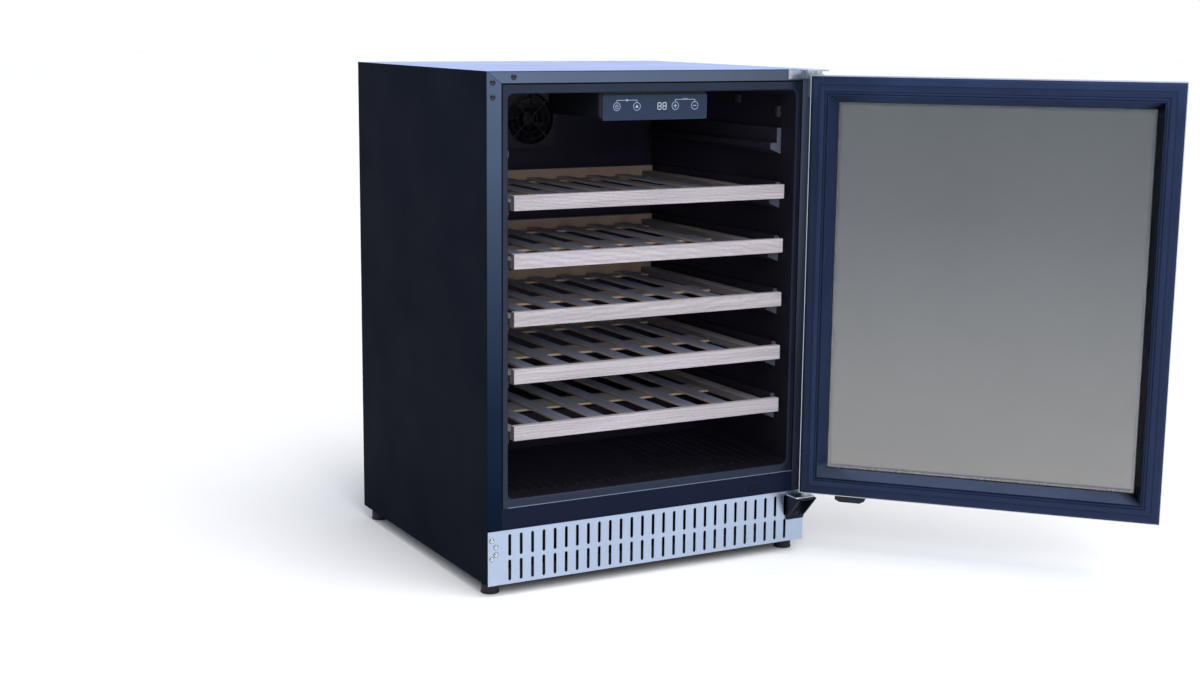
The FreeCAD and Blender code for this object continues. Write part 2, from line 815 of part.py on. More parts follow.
# ---------------------------------------------------------------- control unit, lamp, probes
PANEL_HALF = 95
PANEL_LOW = 742
PANEL_HIGH = 782
panel_front = front + 10
unit_low = PANEL_LOW + 2
unit_back = front + 200
window_x = (1, 22)
window_z = (755.5, 771.5)
fascia_blank = prism(
    "fascia_blank", "XZ", panel_front, panel_front + 2,
    ("rounded", -PANEL_HALF, PANEL_LOW, PANEL_HALF, PANEL_HIGH, 2),
)
fascia_rounded = round_front(fascia_blank, 0.6)
fascia_recess = block("fascia_recess", window_x, (panel_front - 1, panel_front + 0.8), window_z)
node(cut("control_fascia", fascia_rounded, fascia_recess))
node(block(
    "display_window",
    (window_x[0] + 0.1, window_x[1] - 0.1),
    (panel_front - 0.1, panel_front + 0.8),
    (window_z[0] + 0.1, window_z[1] - 0.1),
))
unit_half = PANEL_HALF - 1.5
unit_outside = block(
    "unit_outside", (-unit_half, unit_half), (panel_front + 2, unit_back), (unit_low, cavity_high)
)
unit_inside = block(
    "unit_inside", (-unit_half + 2, unit_half - 2), (panel_front + 4, unit_back - 2),
    (unit_low + 2, cavity_high - 2),
)
node(cut("control_housing", unit_outside, unit_inside))
node(block(
    "controller_board", (-unit_half + 2, unit_half - 2), (panel_front + 20, unit_back - 20),
    (unit_low + 14, unit_low + 15.6),
))
node(prism(
    "lamp_lens", "XY", unit_low - 2.5, unit_low,
    ("rounded", -60, panel_front + 40, 60, panel_front + 60, 4),
))
clip_x = (cavity_half - 6, cavity_half)
front_clip = block("front_clip", clip_x, (front + 45, front + 53), (740, 758))
rear_clip = block("rear_clip", clip_x, (front + 166, front + 178), (758, 772))
node(group("temperature_probes", front_clip, rear_clip))

# ---------------------------------------------------------------- refrigeration in the rear bay
COMPRESSOR = (-150, 165)
shell_points = [
    (0, 34), (50, 36), (68, 48), (74, 64), (74, 118), (66, 138), (48, 152), (0, 158),
]
compressor_shell = turned("compressor_shell", (COMPRESSOR[0], COMPRESSOR[1], 0), shell_points)
compressor_base = prism(
    "compressor_base", "XY", 30, 37,
    ("rounded", COMPRESSOR[0] - 100, COMPRESSOR[1] - 60, COMPRESSOR[0] + 100, COMPRESSOR[1] + 60, 12),
)
compressor_feet = [
    rod(f"compressor_foot_{i}", "Z", (COMPRESSOR[0] + a, COMPRESSOR[1] + b, tray_high), 11, 9.5)
    for i, (a, b) in enumerate([(-85, -45), (85, -45), (-85, 45), (85, 45)])
]
compressor_tube = rod("compressor_tube", "X", (COMPRESSOR[0] + 60, COMPRESSOR[1], 120), 4, 60)
terminal_box = block(
    "terminal_box", (COMPRESSOR[0] - 25, COMPRESSOR[0] + 25),
    (COMPRESSOR[1] + 60, COMPRESSOR[1] + 92), (70, 120),
)
node(fuse(
    "compressor", compressor_shell, compressor_base, *compressor_feet, compressor_tube, terminal_box
))

FIN_COUNT = 20
fins = [
    block(f"condenser_fin_{i}", (34 + 8 * i, 35 + 8 * i), (126, 176), (40, 170))
    for i in range(FIN_COUNT)
]
tubes = [
    rod(f"condenser_tube_{i}", "X", (26, y, z), 4, 168)
    for i, (y, z) in enumerate([(y, z) for y in (138, 164) for z in (58, 88, 118, 148)])
]
node(fuse("condenser_coil", *fins, *tubes))

# ---------------------------------------------------------------- hinges
pivot_x = dims["PivotX"]
pin = dims["PinRadius"]
leg_front = front - 2
PLATE = 2.5

upper_plate = prism(
    "upper_plate", "XY", top - PLATE, top,
    ("rounded", 255, front - 40, half, front, 4),
)
upper_leg = prism(
    "upper_leg", "XZ", leg_front, front,
    ("polygon", [
        (243, 804), (283, 804), (283, 774), (294, 774), (294, 813), (half, 813),
        (half, top), (243, top),
    ]),
)
countersinks = []
for i, (across, height) in enumerate(UPPER_HOLES):
    countersinks.append(rod(
        f"countersink_bore_{i}", "Y", (across, leg_front - 1, height), UPPER_HOLE_RADIUS, 6
    ))
    countersinks.append(taper(
        f"countersink_{i}", "Y", (across, leg_front, height), 4.1, UPPER_HOLE_RADIUS, 1.9
    ))
upper_pin_hole = rod("upper_pin_hole", "Z", (pivot_x, pivot_y, top - 5), pin, 8)
node(cut(
    "upper_hinge_bracket", fuse("upper_bracket_blank", upper_plate, upper_leg),
    *countersinks, upper_pin_hole,
))
bush_high = dims["DoorHigh"]
upper_pin_low = bush_high - 12
node(fuse(
    "upper_hinge_pin",
    rod("upper_pin_shaft", "Z", (pivot_x, pivot_y, upper_pin_low), pin, top - upper_pin_low),
    rod("upper_pin_collar", "Z", (pivot_x, pivot_y, bush_high + 2), 6, top - PLATE - bush_high - 2),
))
node(group("upper_hinge_screws", *[
    fuse(
        f"upper_screw_{i}",
        taper(f"upper_screw_head_{i}", "Y", (across, leg_front + 0.1, height), 3.9, 2, 1.8),
        rod(f"upper_screw_shank_{i}", "Y", (across, leg_front + 1, height), 2, 14),
    )
    for i, (across, height) in enumerate(UPPER_HOLES)
]))

bracket_x = (262, 297)
bracket_high = 102.5
bracket_front = kick_front - PLATE
lower_face = prism(
    "lower_face", "XZ", bracket_front, kick_front,
    ("rounded", bracket_x[0], 58, bracket_x[1], bracket_high, 2),
)
lower_shelf = prism(
    "lower_shelf", "XY", bracket_high - PLATE, bracket_high,
    ("rounded", bracket_x[0], front - 42, bracket_x[1], kick_front, 3),
)
gussets = [
    prism(
        f"lower_gusset_{i}", "YZ", x, x + PLATE,
        ("polygon", [(bracket_front, 62), (front - 40, bracket_high - PLATE), (bracket_front, bracket_high - PLATE)]),
    )
    for i, x in enumerate((bracket_x[0], bracket_x[1] - PLATE))
]
lower_holes = drills("lower_bracket_hole", 1, LOWER_HOLES, LOWER_HOLE_RADIUS, bracket_front - 1, front)
node(cut(
    "lower_hinge_bracket", fuse("lower_bracket_blank", lower_face, lower_shelf, *gussets), *lower_holes
))
hinge_plate_high = bracket_high + PLATE
node(fuse(
    "lower_hinge_plate",
    prism(
        "lower_plate", "XY", bracket_high, hinge_plate_high,
        ("rounded", bracket_x[0] - 3, front - 38, bracket_x[1] + 0.5, kick_front, 6),
    ),
    rod("lower_pin_shaft", "Z", (pivot_x, pivot_y, bracket_high), pin, 22),
))


def pan_screw(name, across, height, seat):
    """A pan-head screw driven in along +Y from its seat."""
    head = taper(name + "_head", "Y", (across, size(seat) - 2.2, height), 2.6, 3.4, 1)
    rim = rod(name + "_rim", "Y", (across, size(seat) - 1.2, height), 3.4, 1.2)
    shank = rod(name + "_shank", "Y", (across, seat, height), 2, front + 9 - seat)
    return fuse(name, head, rim, shank)


pan_screws = [
    pan_screw(f"left_screw_{i}", -across, height, kick_front)
    for i, (across, height) in enumerate(LOWER_HOLES)
]
pan_screws += [
    pan_screw(f"right_screw_{i}", across, height, bracket_front)
    for i, (across, height) in enumerate(LOWER_HOLES)
]
node(group("kickplate_screws", *pan_screws))
node(group("hinge_hole_plugs", *[
    fuse(
        f"plug_{i}",
        taper(f"plug_cap_{i}", "Y", (-across, front - 1.2, height), 2.8, 3.8, 1.2),
        rod(f"plug_stem_{i}", "Y", (-across, front, height), 2, 6),
    )
    for i, (across, height) in enumerate(UPPER_HOLES)
]))

# ---------------------------------------------------------------- door, drawn closed, then swung open
door_right = dims["DoorRight"]
door_left = door_right - dims["DoorWidth"]
door_low = dims["DoorLow"]
door_high = dims["DoorHigh"]
door_inside = front - dims["DoorStandoff"]
door_outside = door_inside - dims["DoorThick"]
glass_face = door_inside - dims["GlassDeep"]
STEEL = 1.2
EDGE_SETBACK = 4

swing = FreeCAD.Placement(
    Vector(0, 0, 0),
    Rotation(Vector(0, 0, 1), dims["DoorOpen"].value),
    Vector(pivot_x.value, pivot_y.value, 0),
)


def door_node(piece):
    """Swing a piece of the closed door to the stored opening angle."""
    piece.Placement = swing
    return node(piece)


def door_x(inset):
    return (door_left + inset, door_right - inset)


def door_z(inset):
    return (door_low + inset, door_high - inset)


def door_block(name, inset, y_low, y_high):
    return block(name, door_x(inset), (y_low, y_high), door_z(inset))


def mitred(name, ring, reach):
    """Split a ring at its 45 degree mitres into four bars."""
    (x0, x1), (z0, z1) = door_x(0), door_z(0)
    reach = size(reach)
    corners = [(x0, z0), (x1, z0), (x1, z1), (x0, z1)]
    inner = [
        (x0 + reach, z0 + reach), (x1 - reach, z0 + reach),
        (x1 - reach, z1 - reach), (x0 + reach, z1 - reach),
    ]
    bars = []
    for i, side in enumerate(("low", "hinge", "high", "free")):
        j = (i + 1) % 4
        outline = [corners[i], corners[j], inner[j], inner[i]]
        if side in ("low", "high"):
            shift = JOINT if side == "low" else -JOINT
            outline = [
                (x + offset, z) for (x, z), offset in zip(outline, (shift, -shift, -shift, shift))
            ]
        sector = prism(
            f"{name}_{side}_sector", "XZ", door_outside - 1, front, ("polygon", outline)
        )
        bars.append(common(f"{name}_{side}", ring, sector))
    return group(name, *bars)


steel_back = door_inside - EDGE_SETBACK
bush_bore = pin + dims["PinClear"]
BUSH_RADIUS = 6.5
bush_spaces = [
    rod("bush_space_low", "Z", (pivot_x, pivot_y, door_low - 1), BUSH_RADIUS, 17),
    rod("bush_space_high", "Z", (pivot_x, pivot_y, door_high - 16), BUSH_RADIUS, 17),
]
steel_ring = cut(
    "steel_ring",
    door_block("steel_outside", 0, door_outside, steel_back),
    door_block("steel_inside", STEEL, door_outside + STEEL, steel_back + 1),
    door_block("steel_window", dims["GlassInset"] + 2, door_outside - 1, door_outside + STEEL + 1),
    *bush_spaces,
)
door_node(mitred("door_outer_frame", steel_ring, 70))

CHAMFER = 4
body_edge = size(STEEL)
frame_blank = fuse(
    "inner_frame_blank",
    door_block("inner_frame_body", body_edge, door_outside + STEEL, steel_back),
    frustum(
        "inner_frame_chamfer", door_x(body_edge + CHAMFER), (steel_back, door_inside),
        door_z(body_edge + CHAMFER), -CHAMFER,
    ),
)
BEVEL_START = 30
REBATE = 38.5
groove = cut(
    "gasket_groove",
    door_block("groove_outer", 14.5, door_inside - 1.5, door_inside + 1),
    door_block("groove_inner", 25, door_inside - 3, door_inside + 2),
)
inner_ring = cut(
    "inner_ring",
    frame_blank,
    frustum(
        "bevel_space", door_x(BEVEL_START), (glass_face, door_inside), door_z(BEVEL_START),
        dims["GlassInset"] - BEVEL_START,
    ),
    door_block("glass_rebate", REBATE, door_outside, glass_face),
    groove,
    *bush_spaces,
)
door_node(mitred("door_inner_frame", inner_ring, 60))

gasket_blank = fuse(
    "gasket_blank",
    door_block("gasket_outer", 14.7, door_inside - 1.5, door_inside + 1.2),
    door_block("gasket_crown", 16.2, door_inside + 1.2, front - 0.3),
)
gasket_ring = cut(
    "gasket_ring", gasket_blank, door_block("gasket_hole", 24.8, door_inside - 2, front + 1)
)
door_node(mitred("door_gasket", gasket_ring, 60))

PANE = 4
glass_inset = REBATE + 0.5
spacer_low = door_outside + STEEL + PANE + 0.2
pane_x = door_x(glass_inset)
pane_z = door_z(glass_inset)
inner_pane_low = glass_face - PANE
door_node(group("inner_pane", block("inner_pane_sheet", pane_x, (inner_pane_low, glass_face), pane_z)))
door_node(group("outer_pane", block(
    "outer_pane_sheet", pane_x, (door_outside + STEEL + 0.2, spacer_low), pane_z
)))
SPACER = 9
door_node(cut(
    "glass_spacer",
    door_block("spacer_outside", glass_inset, spacer_low, inner_pane_low),
    door_block("spacer_inside", glass_inset + SPACER, spacer_low - 1, inner_pane_low + 1),
))

bushes = []
for name, z_flange, z_tube, z_end in (
    ("lower", hinge_plate_high + 0.1, door_low, door_low + 15),
    ("upper", door_high + 1.5, door_high - 15, door_high),
):
    low_end = z_flange if name == "lower" else z_end
    high_end = z_tube if name == "lower" else z_flange
    flange = rod(name + "_bush_flange", "Z", (pivot_x, pivot_y, low_end), 8.5, high_end - low_end)
    sleeve = rod(name + "_bush_sleeve", "Z", (pivot_x, pivot_y, z_tube), BUSH_RADIUS - 0.05, 15)
    bore = rod(name + "_bush_bore", "Z", (pivot_x, pivot_y, z_tube - 12), bush_bore, 40)
    bushes.append(cut(name + "_bush", fuse(name + "_bush_blank", flange, sleeve), bore))
door_node(group("hinge_bushes", *bushes))

STOP_NEAR = 51
stop_right = pivot_x - STOP_NEAR
door_node(group("door_stop_block", prism(
    "stop_block", "XZ", door_inside - 30, door_inside - 10,
    ("polygon", [
        (stop_right, door_low), (stop_right, door_low - 8), (stop_right - 8, door_low - 12),
        (stop_right - 42, door_low - 12), (stop_right - 50, door_low - 8), (stop_right - 50, door_low),
    ]),
)))

HANDLE_X = -262
HANDLE_Z = (301, 621)
HANDLE_REACH = 34
handle_y = door_outside - HANDLE_REACH
handle_blank = rod(
    "handle_blank", "Z", (HANDLE_X, handle_y, HANDLE_Z[0]), 6, HANDLE_Z[1] - HANDLE_Z[0]
)


def handle_post(name, z):
    return rod(name, "Y", (HANDLE_X, handle_y, z), 4.5, HANDLE_REACH)


POST_Z = (HANDLE_Z[0] + 30, HANDLE_Z[1] - 30)
sockets = [handle_post(f"handle_socket_{i}", z) for i, z in enumerate(POST_Z)]
door_node(cut("handle_bar", handle_blank, *sockets))
door_node(group("handle_posts", *[handle_post(f"handle_post_{i}", z) for i, z in enumerate(POST_Z)]))

# ---------------------------------------------------------------- check and write
doc.recompute()
for item in doc.Objects:
    states = [word for word in ("Invalid", "Error") if word in item.State]
    if states:
        raise RuntimeError(f"{item.Name}: {states}")
os.makedirs("parts", exist_ok=True)
for piece in nodes:
    shape = piece.Shape
    if shape.isNull() or not shape.isValid() or not shape.Solids:
        raise RuntimeError(f"{piece.Name}: bad shape")
    shape.exportStep(f"parts/{piece.Name}.step")
    volume = sum(solid.Volume for solid in shape.Solids)
    print(f"{piece.Name}: {len(shape.Solids)} solids, {volume / 1000:.1f} cm3")
print(len(nodes), "nodes")
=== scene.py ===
"""Looks for the built-in wine cooler: materials, eased meshes, small details, light and camera."""

import bpy
import bmesh
import json
from math import copysign, cos, pi, radians, sin
from mathutils import Matrix, Vector

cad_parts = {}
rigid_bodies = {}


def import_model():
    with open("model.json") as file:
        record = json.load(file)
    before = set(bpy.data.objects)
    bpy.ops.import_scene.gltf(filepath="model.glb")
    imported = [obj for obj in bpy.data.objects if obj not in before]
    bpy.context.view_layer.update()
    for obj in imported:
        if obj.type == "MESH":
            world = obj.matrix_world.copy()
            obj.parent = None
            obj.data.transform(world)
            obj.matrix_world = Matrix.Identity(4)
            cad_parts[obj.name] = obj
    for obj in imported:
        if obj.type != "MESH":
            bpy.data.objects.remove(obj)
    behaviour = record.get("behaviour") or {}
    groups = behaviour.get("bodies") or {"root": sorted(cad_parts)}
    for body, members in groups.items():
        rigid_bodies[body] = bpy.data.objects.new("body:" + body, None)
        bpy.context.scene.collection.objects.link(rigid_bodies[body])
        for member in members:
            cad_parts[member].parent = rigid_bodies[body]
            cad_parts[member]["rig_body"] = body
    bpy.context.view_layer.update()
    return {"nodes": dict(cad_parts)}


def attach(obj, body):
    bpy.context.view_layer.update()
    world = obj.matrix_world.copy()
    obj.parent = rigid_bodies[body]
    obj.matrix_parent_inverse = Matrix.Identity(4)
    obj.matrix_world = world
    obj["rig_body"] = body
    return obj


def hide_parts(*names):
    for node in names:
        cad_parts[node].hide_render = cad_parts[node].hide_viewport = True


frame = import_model()
nodes = frame["nodes"]
MM = 0.001


# ---- materials
class Wiring:
    """A node tree whose nodes are added, set and linked in one step."""

    def __init__(self, tree):
        self.tree = tree

    def feed(self, target, value):
        """Links a socket to an input, or sets the input to a number, a vector or a colour."""
        if isinstance(value, bpy.types.NodeSocket):
            self.tree.links.new(value, target)
        else:
            target.default_value = (*value, 1) if target.type == "RGBA" else value

    def add(self, kind, inputs=None, **settings):
        node = self.tree.nodes.new(kind)
        for key, value in settings.items():
            setattr(node, key, value)
        for key, value in (inputs or {}).items():
            self.feed(node.inputs[key], value)
        return node

    def span(self, source, low, high, new_low=0.0, new_high=1.0, ease="LINEAR"):
        """Carries the range from low to high over to a new range."""
        return self.add("ShaderNodeMapRange", {
            "Value": source, "From Min": low, "From Max": high, "To Min": new_low, "To Max": new_high,
        }, interpolation_type=ease).outputs["Result"]

    def mix(self, share, first, second, blend="MIX"):
        return self.add("ShaderNodeMix", {0: share, 6: first, 7: second},
                        data_type="RGBA", blend_type=blend).outputs[2]

    def maths(self, operation, first, second=0.0):
        return self.add("ShaderNodeMath", {0: first, 1: second}, operation=operation).outputs[0]

    def parts(self, source):
        return self.add("ShaderNodeSeparateXYZ", {0: source}).outputs


class Shade(Wiring):
    """One procedural material while it is being wired."""

    def __init__(self, name, roughness=0.5, metallic=0.0, specular=0.5):
        self.material = bpy.data.materials.new(name)
        self.material.use_nodes = True
        super().__init__(self.material.node_tree)
        self.bsdf = self.tree.nodes["Principled BSDF"]
        self.set("Roughness", roughness)
        self.set("Metallic", metallic)
        self.set("Specular IOR Level", specular)
        self.where = self.add("ShaderNodeTexCoord").outputs["Object"]

    def set(self, socket, value):
        self.feed(self.bsdf.inputs[socket], value)
        return self

    def colour(self, source):
        return self.set("Base Color", source)

    def rough(self, source, low, high):
        return self.set("Roughness", self.span(source, 0.3, 0.7, low, high))

    def bump(self, source, strength, distance):
        settings = {"Height": source, "Strength": strength, "Distance": distance}
        return self.set("Normal", self.add("ShaderNodeBump", settings).outputs["Normal"])

    def painted_light_along(self, letter, low, high, *stops):
        """Multiplies the colour by a ramp along one axis, in metres, to paint light and shade."""
        places = [((place - low) / (high - low), share) for place, share in stops]
        base = self.bsdf.inputs["Base Color"].links[0].from_socket
        return self.colour(self.times(base, self.ramp(self.along(letter, low, high), *places)))

    def noise(self, scale, detail, roughness=0.55, vector=None, distortion=0.0):
        return self.add("ShaderNodeTexNoise", {
            "Vector": vector or self.where, "Scale": scale, "Detail": detail,
            "Roughness": roughness, "Distortion": distortion,
        }).outputs["Fac"]

    def cells(self, scale, output="Distance"):
        settings = {"Vector": self.where, "Scale": scale}
        return self.add("ShaderNodeTexVoronoi", settings).outputs[output]

    def stretch(self, axis, lengthwise, crosswise):
        """Coordinates scaled per metre, differently along one axis and across it."""
        scale = [crosswise] * 3
        scale["XYZ".index(axis)] = lengthwise
        return self.add("ShaderNodeMapping", {"Vector": self.where, "Scale": scale}).outputs[0]

    def rings(self, spacing, centre, turn, waviness):
        """Growth rings round a nearly level log along X."""
        place = self.add("ShaderNodeMapping", {
            "Vector": self.where, "Location": centre, "Rotation": [radians(a) for a in turn],
        }, vector_type="TEXTURE")
        return self.add("ShaderNodeTexWave", {
            "Vector": place.outputs[0], "Scale": 2 * pi / (20 * spacing),
            "Distortion": waviness, "Detail": 3, "Detail Scale": 0.35,
        }, wave_type="RINGS", rings_direction="X").outputs["Fac"]

    def ramp(self, source, *stops):
        """Colours, or shares of white, at places between 0 and 1."""
        node = self.add("ShaderNodeValToRGB", {"Fac": source})
        points = node.color_ramp.elements
        while len(points) < len(stops):
            points.new(0.5)
        for point, (place, colour) in zip(points, stops):
            point.position = place
            point.color = (*(colour if isinstance(colour, tuple) else [colour] * 3), 1)
        return node.outputs["Color"]

    def cloud(self, source, dark, light):
        """Two tones that a noise blends."""
        return self.ramp(source, (0.3, dark), (0.7, light))

    def times(self, first, second):
        return self.mix(1.0, first, second, "MULTIPLY")

    def along(self, letter, low, high):
        """From 0 to 1 between two places on one of the object's axes, in metres."""
        return self.span(self.parts(self.where)[letter], low, high)

    def facing(self, letter):
        """How much the surface faces along one row axis, either way."""
        normal = self.add("ShaderNodeNewGeometry").outputs["Normal"]
        return self.maths("ABSOLUTE", self.parts(normal)[letter])


def scaled(colour, share):
    return tuple(c * share for c in colour)


def shades_of(colour, spread):
    """A darker and a lighter shade."""
    return scaled(colour, 1 - spread), tuple(min(1, c) for c in scaled(colour, 1 + spread))


def powder_paint(name, colour, roughness, specular=0.3, grain=0.05):
    """Fine orange-peel paint with a slow change of tone."""
    s = Shade(name, roughness, specular=specular)
    fine = s.noise(1500, 2)
    tone = s.cloud(s.noise(5, 3), *shades_of(colour, 0.12))
    s.colour(s.mix(s.span(fine, 0.3, 0.7, 0.0, 0.5), tone, scaled(colour, 1.15)))
    s.rough(s.noise(9, 4), roughness - 0.05, roughness + 0.07)
    return s.bump(fine, grain, 0.0002)


def moulded(name, colour, roughness, specular=0.4, grain=0.08, scale=2200):
    """Moulded plastic with a fine eroded texture."""
    s = Shade(name, roughness, specular=specular)
    slow = s.noise(12, 4)
    dark, light = shades_of(colour, 0.1)
    s.colour(s.ramp(slow, (0.32, dark), (0.68, light)))
    s.rough(slow, roughness - 0.06, roughness + 0.08)
    return s.bump(s.cells(scale), grain, 0.0003)


def brushed(name, colour, roughness, axis, strength=0.12):
    """Metal with fine lines along one axis."""
    s = Shade(name, roughness, metallic=1.0)
    lines = s.noise(1, 3, 0.65, s.stretch(axis, 14, 2600))
    dark, light = shades_of(colour, 0.07)
    tone = s.ramp(lines, (0.28, dark), (0.72, light))
    s.colour(s.times(tone, s.cloud(s.noise(7, 3), 0.93, 1.0)))
    s.rough(lines, roughness - 0.08, roughness + 0.1)
    return s.bump(lines, strength, 0.00012)


def beech(name, light, dark, axis, roughness, edge=None):
    """Beech: soft growth streaks along one axis, short dark flecks, and browner end grain."""
    s = Shade(name, roughness, specular=0.25)
    streaks = s.noise(1, 5, 0.6, s.stretch(axis, 5, 260), 0.3)
    flecks = s.noise(1, 1, 0.5, s.stretch(axis, 170, 1500))
    growth = s.noise(1, 3, 0.5, s.stretch(axis, 1.6, 38), 1.2)
    middle = tuple((a + b) / 2 for a, b in zip(light, dark))
    tone = s.ramp(streaks, (0.25, dark), (0.5, middle), (0.72, light))
    tone = s.times(tone, s.ramp(growth, (0.35, 0.86), (0.65, 1.06)))
    tone = s.times(tone, s.ramp(flecks, (0.6, 1.0), (0.68, 0.8)))
    if axis == "X":
        log = s.rings(0.0042, (0, -0.16, 0.48), (0, 2.6, 3.0), 6.0)
        tone = s.times(tone, s.ramp(log, (0.2, 0.91), (0.55, 0.99), (0.85, 1.04)))
    if edge:  # the sides are warmer than the top; on the slats the top's blue-grey is painted reflection
        sawn = s.mix(0.5, edge, s.times(tone, (1.15, 0.95, 0.75)))
        tone = s.mix(s.span(s.facing("Z"), 0.75, 0.4), tone, sawn)
    end = s.cloud(s.noise(900, 3), scaled(dark, 0.44), scaled(light, 0.55))
    s.colour(s.mix(s.span(s.facing(axis), 0.8, 0.95), tone, end))
    s.rough(streaks, roughness - 0.06, roughness + 0.1)
    return s.bump(s.maths("ADD", s.maths("MULTIPLY", flecks, 0.6), streaks), 0.1, 0.0003)


def pane_glass(name, low_z, high_z, low_tint, middle_tint, high_tint):
    """Smoked glass: what lies behind shows through the tint, which deepens towards the top."""
    s = Shade(name)
    s.tree.nodes.remove(s.bsdf)
    tint = s.ramp(s.along("Z", low_z, high_z), (0.0, low_tint), (0.55, middle_tint), (1.0, high_tint))
    tint = s.times(tint, s.cloud(s.noise(3, 2), 0.985, 1.0))
    through = s.add("ShaderNodeBsdfTransparent", {"Color": tint})
    mirror = s.add("ShaderNodeBsdfGlossy", {"Roughness": 0.0, "Color": (1.0, 0.96, 0.88)})
    slant = s.add("ShaderNodeLayerWeight").outputs["Facing"]
    share = s.span(s.maths("POWER", slant, 5.0), 0.0, 1.0, 0.015, 0.5)
    blend = s.add("ShaderNodeMixShader", {0: share, 1: through.outputs[0], 2: mirror.outputs[0]})
    s.feed(s.tree.nodes["Material Output"].inputs["Surface"], blend.outputs[0])
    return s


def glowing(name, colour, strength):
    """Marking with a painted glow: its colour is also given off as light, uneven as light through ink
    is.
    """
    s = Shade(name, 0.4)
    tone = s.cloud(s.noise(700, 2), scaled(colour, 0.85), colour)
    return s.colour(tone).set("Emission Color", tone).set("Emission Strength", strength)


def casing_paint(name):
    """Black casing paint; the folded front flanges are bluer and lighter with a painted reflection.

    The painted reflection fades from top to bottom, and less so at the hinge side.
    """
    s = Shade(name, 0.5, specular=0.006)
    slow = s.noise(4, 3)
    body = s.cloud(slow, (0.0044, 0.0062, 0.0118), (0.005, 0.0072, 0.0132))
    height = s.along("Z", 0.02, 0.82)
    # painted reflection down the front flanges, lightest at the top; a duller, greyer one on the hinge
    # side
    flange = s.ramp(
        height, (0.0, (0.003, 0.0055, 0.014)), (0.18, (0.004, 0.008, 0.02)),
        (0.34, (0.007, 0.013, 0.03)), (0.54, (0.018, 0.028, 0.055)),
        (0.75, (0.036, 0.053, 0.088)), (0.97, (0.06, 0.084, 0.135)),
    )
    hinge_side = s.ramp(
        height, (0.16, (0.026, 0.03, 0.052)), (0.35, (0.028, 0.033, 0.048)),
        (0.6, (0.051, 0.062, 0.091)), (0.85, (0.066, 0.08, 0.126)),
    )
    flange = s.mix(s.along("X", 0.255, 0.265), flange, hinge_side)
    flange = s.times(flange, s.cloud(slow, 0.9, 1.08))
    s.colour(s.mix(s.along("Y", -0.2664, -0.2669), body, flange))
    s.rough(s.noise(9, 4), 0.42, 0.56)
    return s.bump(s.noise(1500, 2), 0.045, 0.0002)


def lid_paint(name):
    """The casing's lid: the same black, but glossy enough to carry the sky behind it.

    Its front flange carries a painted reflection that darkens towards the hinge side, and the fold
    above it is painted darker still, as painted shade in the crease.
    """
    s = Shade(name, 0.2, specular=0.5)
    slow = s.noise(4, 3)
    lid = s.cloud(slow, (0.01, 0.015, 0.03), (0.013, 0.019, 0.038))
    # painted reflection on the front flange, dimming towards the hinge side, and painted shade on the
    # fold
    front = s.cloud(slow, (0.052, 0.076, 0.13), (0.064, 0.09, 0.15))
    across = s.ramp(s.along("X", -0.25, 0.25), (0.0, 1.0), (0.5, 0.82), (1.0, 0.56))
    front = s.mix(s.along("Z", 0.8181, 0.8187), s.times(front, across), (0.012, 0.04, 0.1))
    s.colour(s.mix(s.along("Y", -0.2662, -0.2668), lid, front))
    s.rough(s.noise(9, 4), 0.17, 0.2)
    return s.bump(s.noise(1500, 2), 0.008, 0.0002)


def stepped(name, inner, outer, edge, roughness, specular, hinge_side=None):
    """Moulded plastic with painted shade: dark in the cavity, lighter in front of edge on Y, darker
    past hinge_side.
    """
    s = Shade(name, roughness, specular=specular)
    slow = s.noise(11, 4)
    # painted shade inside the cavity, painted light on the rim in front of it
    inside = s.cloud(slow, *shades_of(inner, 0.12))
    outside = s.cloud(slow, *shades_of(outer, 0.1))
    if hinge_side:  # the back and the walls also catch more of the room than the floor
        # painted light towards the back and walls, painted shade near the cavity floor and on the rim
        # past hinge_side
        depth = s.ramp(s.along("Y", -0.2, 0.15), (0.0, 0.9), (1.0, (2.7, 2.5, 3.2)))
        height = s.ramp(s.along("Z", 0.16, 0.26), (0.0, 0.85), (1.0, 1.0))
        inside = s.times(s.times(inside, depth), height)
        across = s.ramp(s.along("X", hinge_side, hinge_side + 0.01), (0.0, 1.0), (1.0, 0.5))
        outside = s.times(outside, across)
    s.colour(s.mix(s.along("Y", edge, edge - 0.0015), inside, outside))
    s.rough(slow, roughness - 0.06, roughness + 0.08)
    return s.bump(s.cells(2400), 0.05, 0.0003)


def zinc_coat(name):
    """Galvanised sheet with its crystal pattern."""
    s = Shade(name, 0.42, metallic=1.0)
    crystals = s.parts(s.cells(60, "Color"))["X"]
    s.colour(s.ramp(crystals, (0.0, (0.335, 0.35, 0.375)), (1.0, (0.43, 0.445, 0.47))))
    return s.rough(s.noise(40, 4), 0.36, 0.5).bump(s.noise(300, 3), 0.05, 0.0003)


def foam(name):
    """Insulation foam; its front face behind the flanges is near black, painted shade in the gaps."""
    s = Shade(name, 0.9, specular=0.1)
    pores = s.noise(160, 6, 0.7)
    tone = s.cloud(pores, (0.5, 0.4, 0.2), (0.72, 0.62, 0.38))
    # painted shade: the front face is near black
    s.colour(s.mix(s.along("Y", -0.2635, -0.2645), tone, (0.004, 0.004, 0.006)))
    return s.bump(pores, 0.5, 0.002)


LID = lid_paint("casing_paint_lid")
PAINT = casing_paint("casing_paint")
FRONT_PAINT = powder_paint("crossbar_paint", (0.0055, 0.008, 0.0215), 0.45, 0.05)
SHEET = powder_paint("casing_paint_rear", (0.005, 0.006, 0.009), 0.5, 0.15)
PLASTIC = moulded("black_plastic_fine", (0.0085, 0.0098, 0.015), 0.45, 0.25)
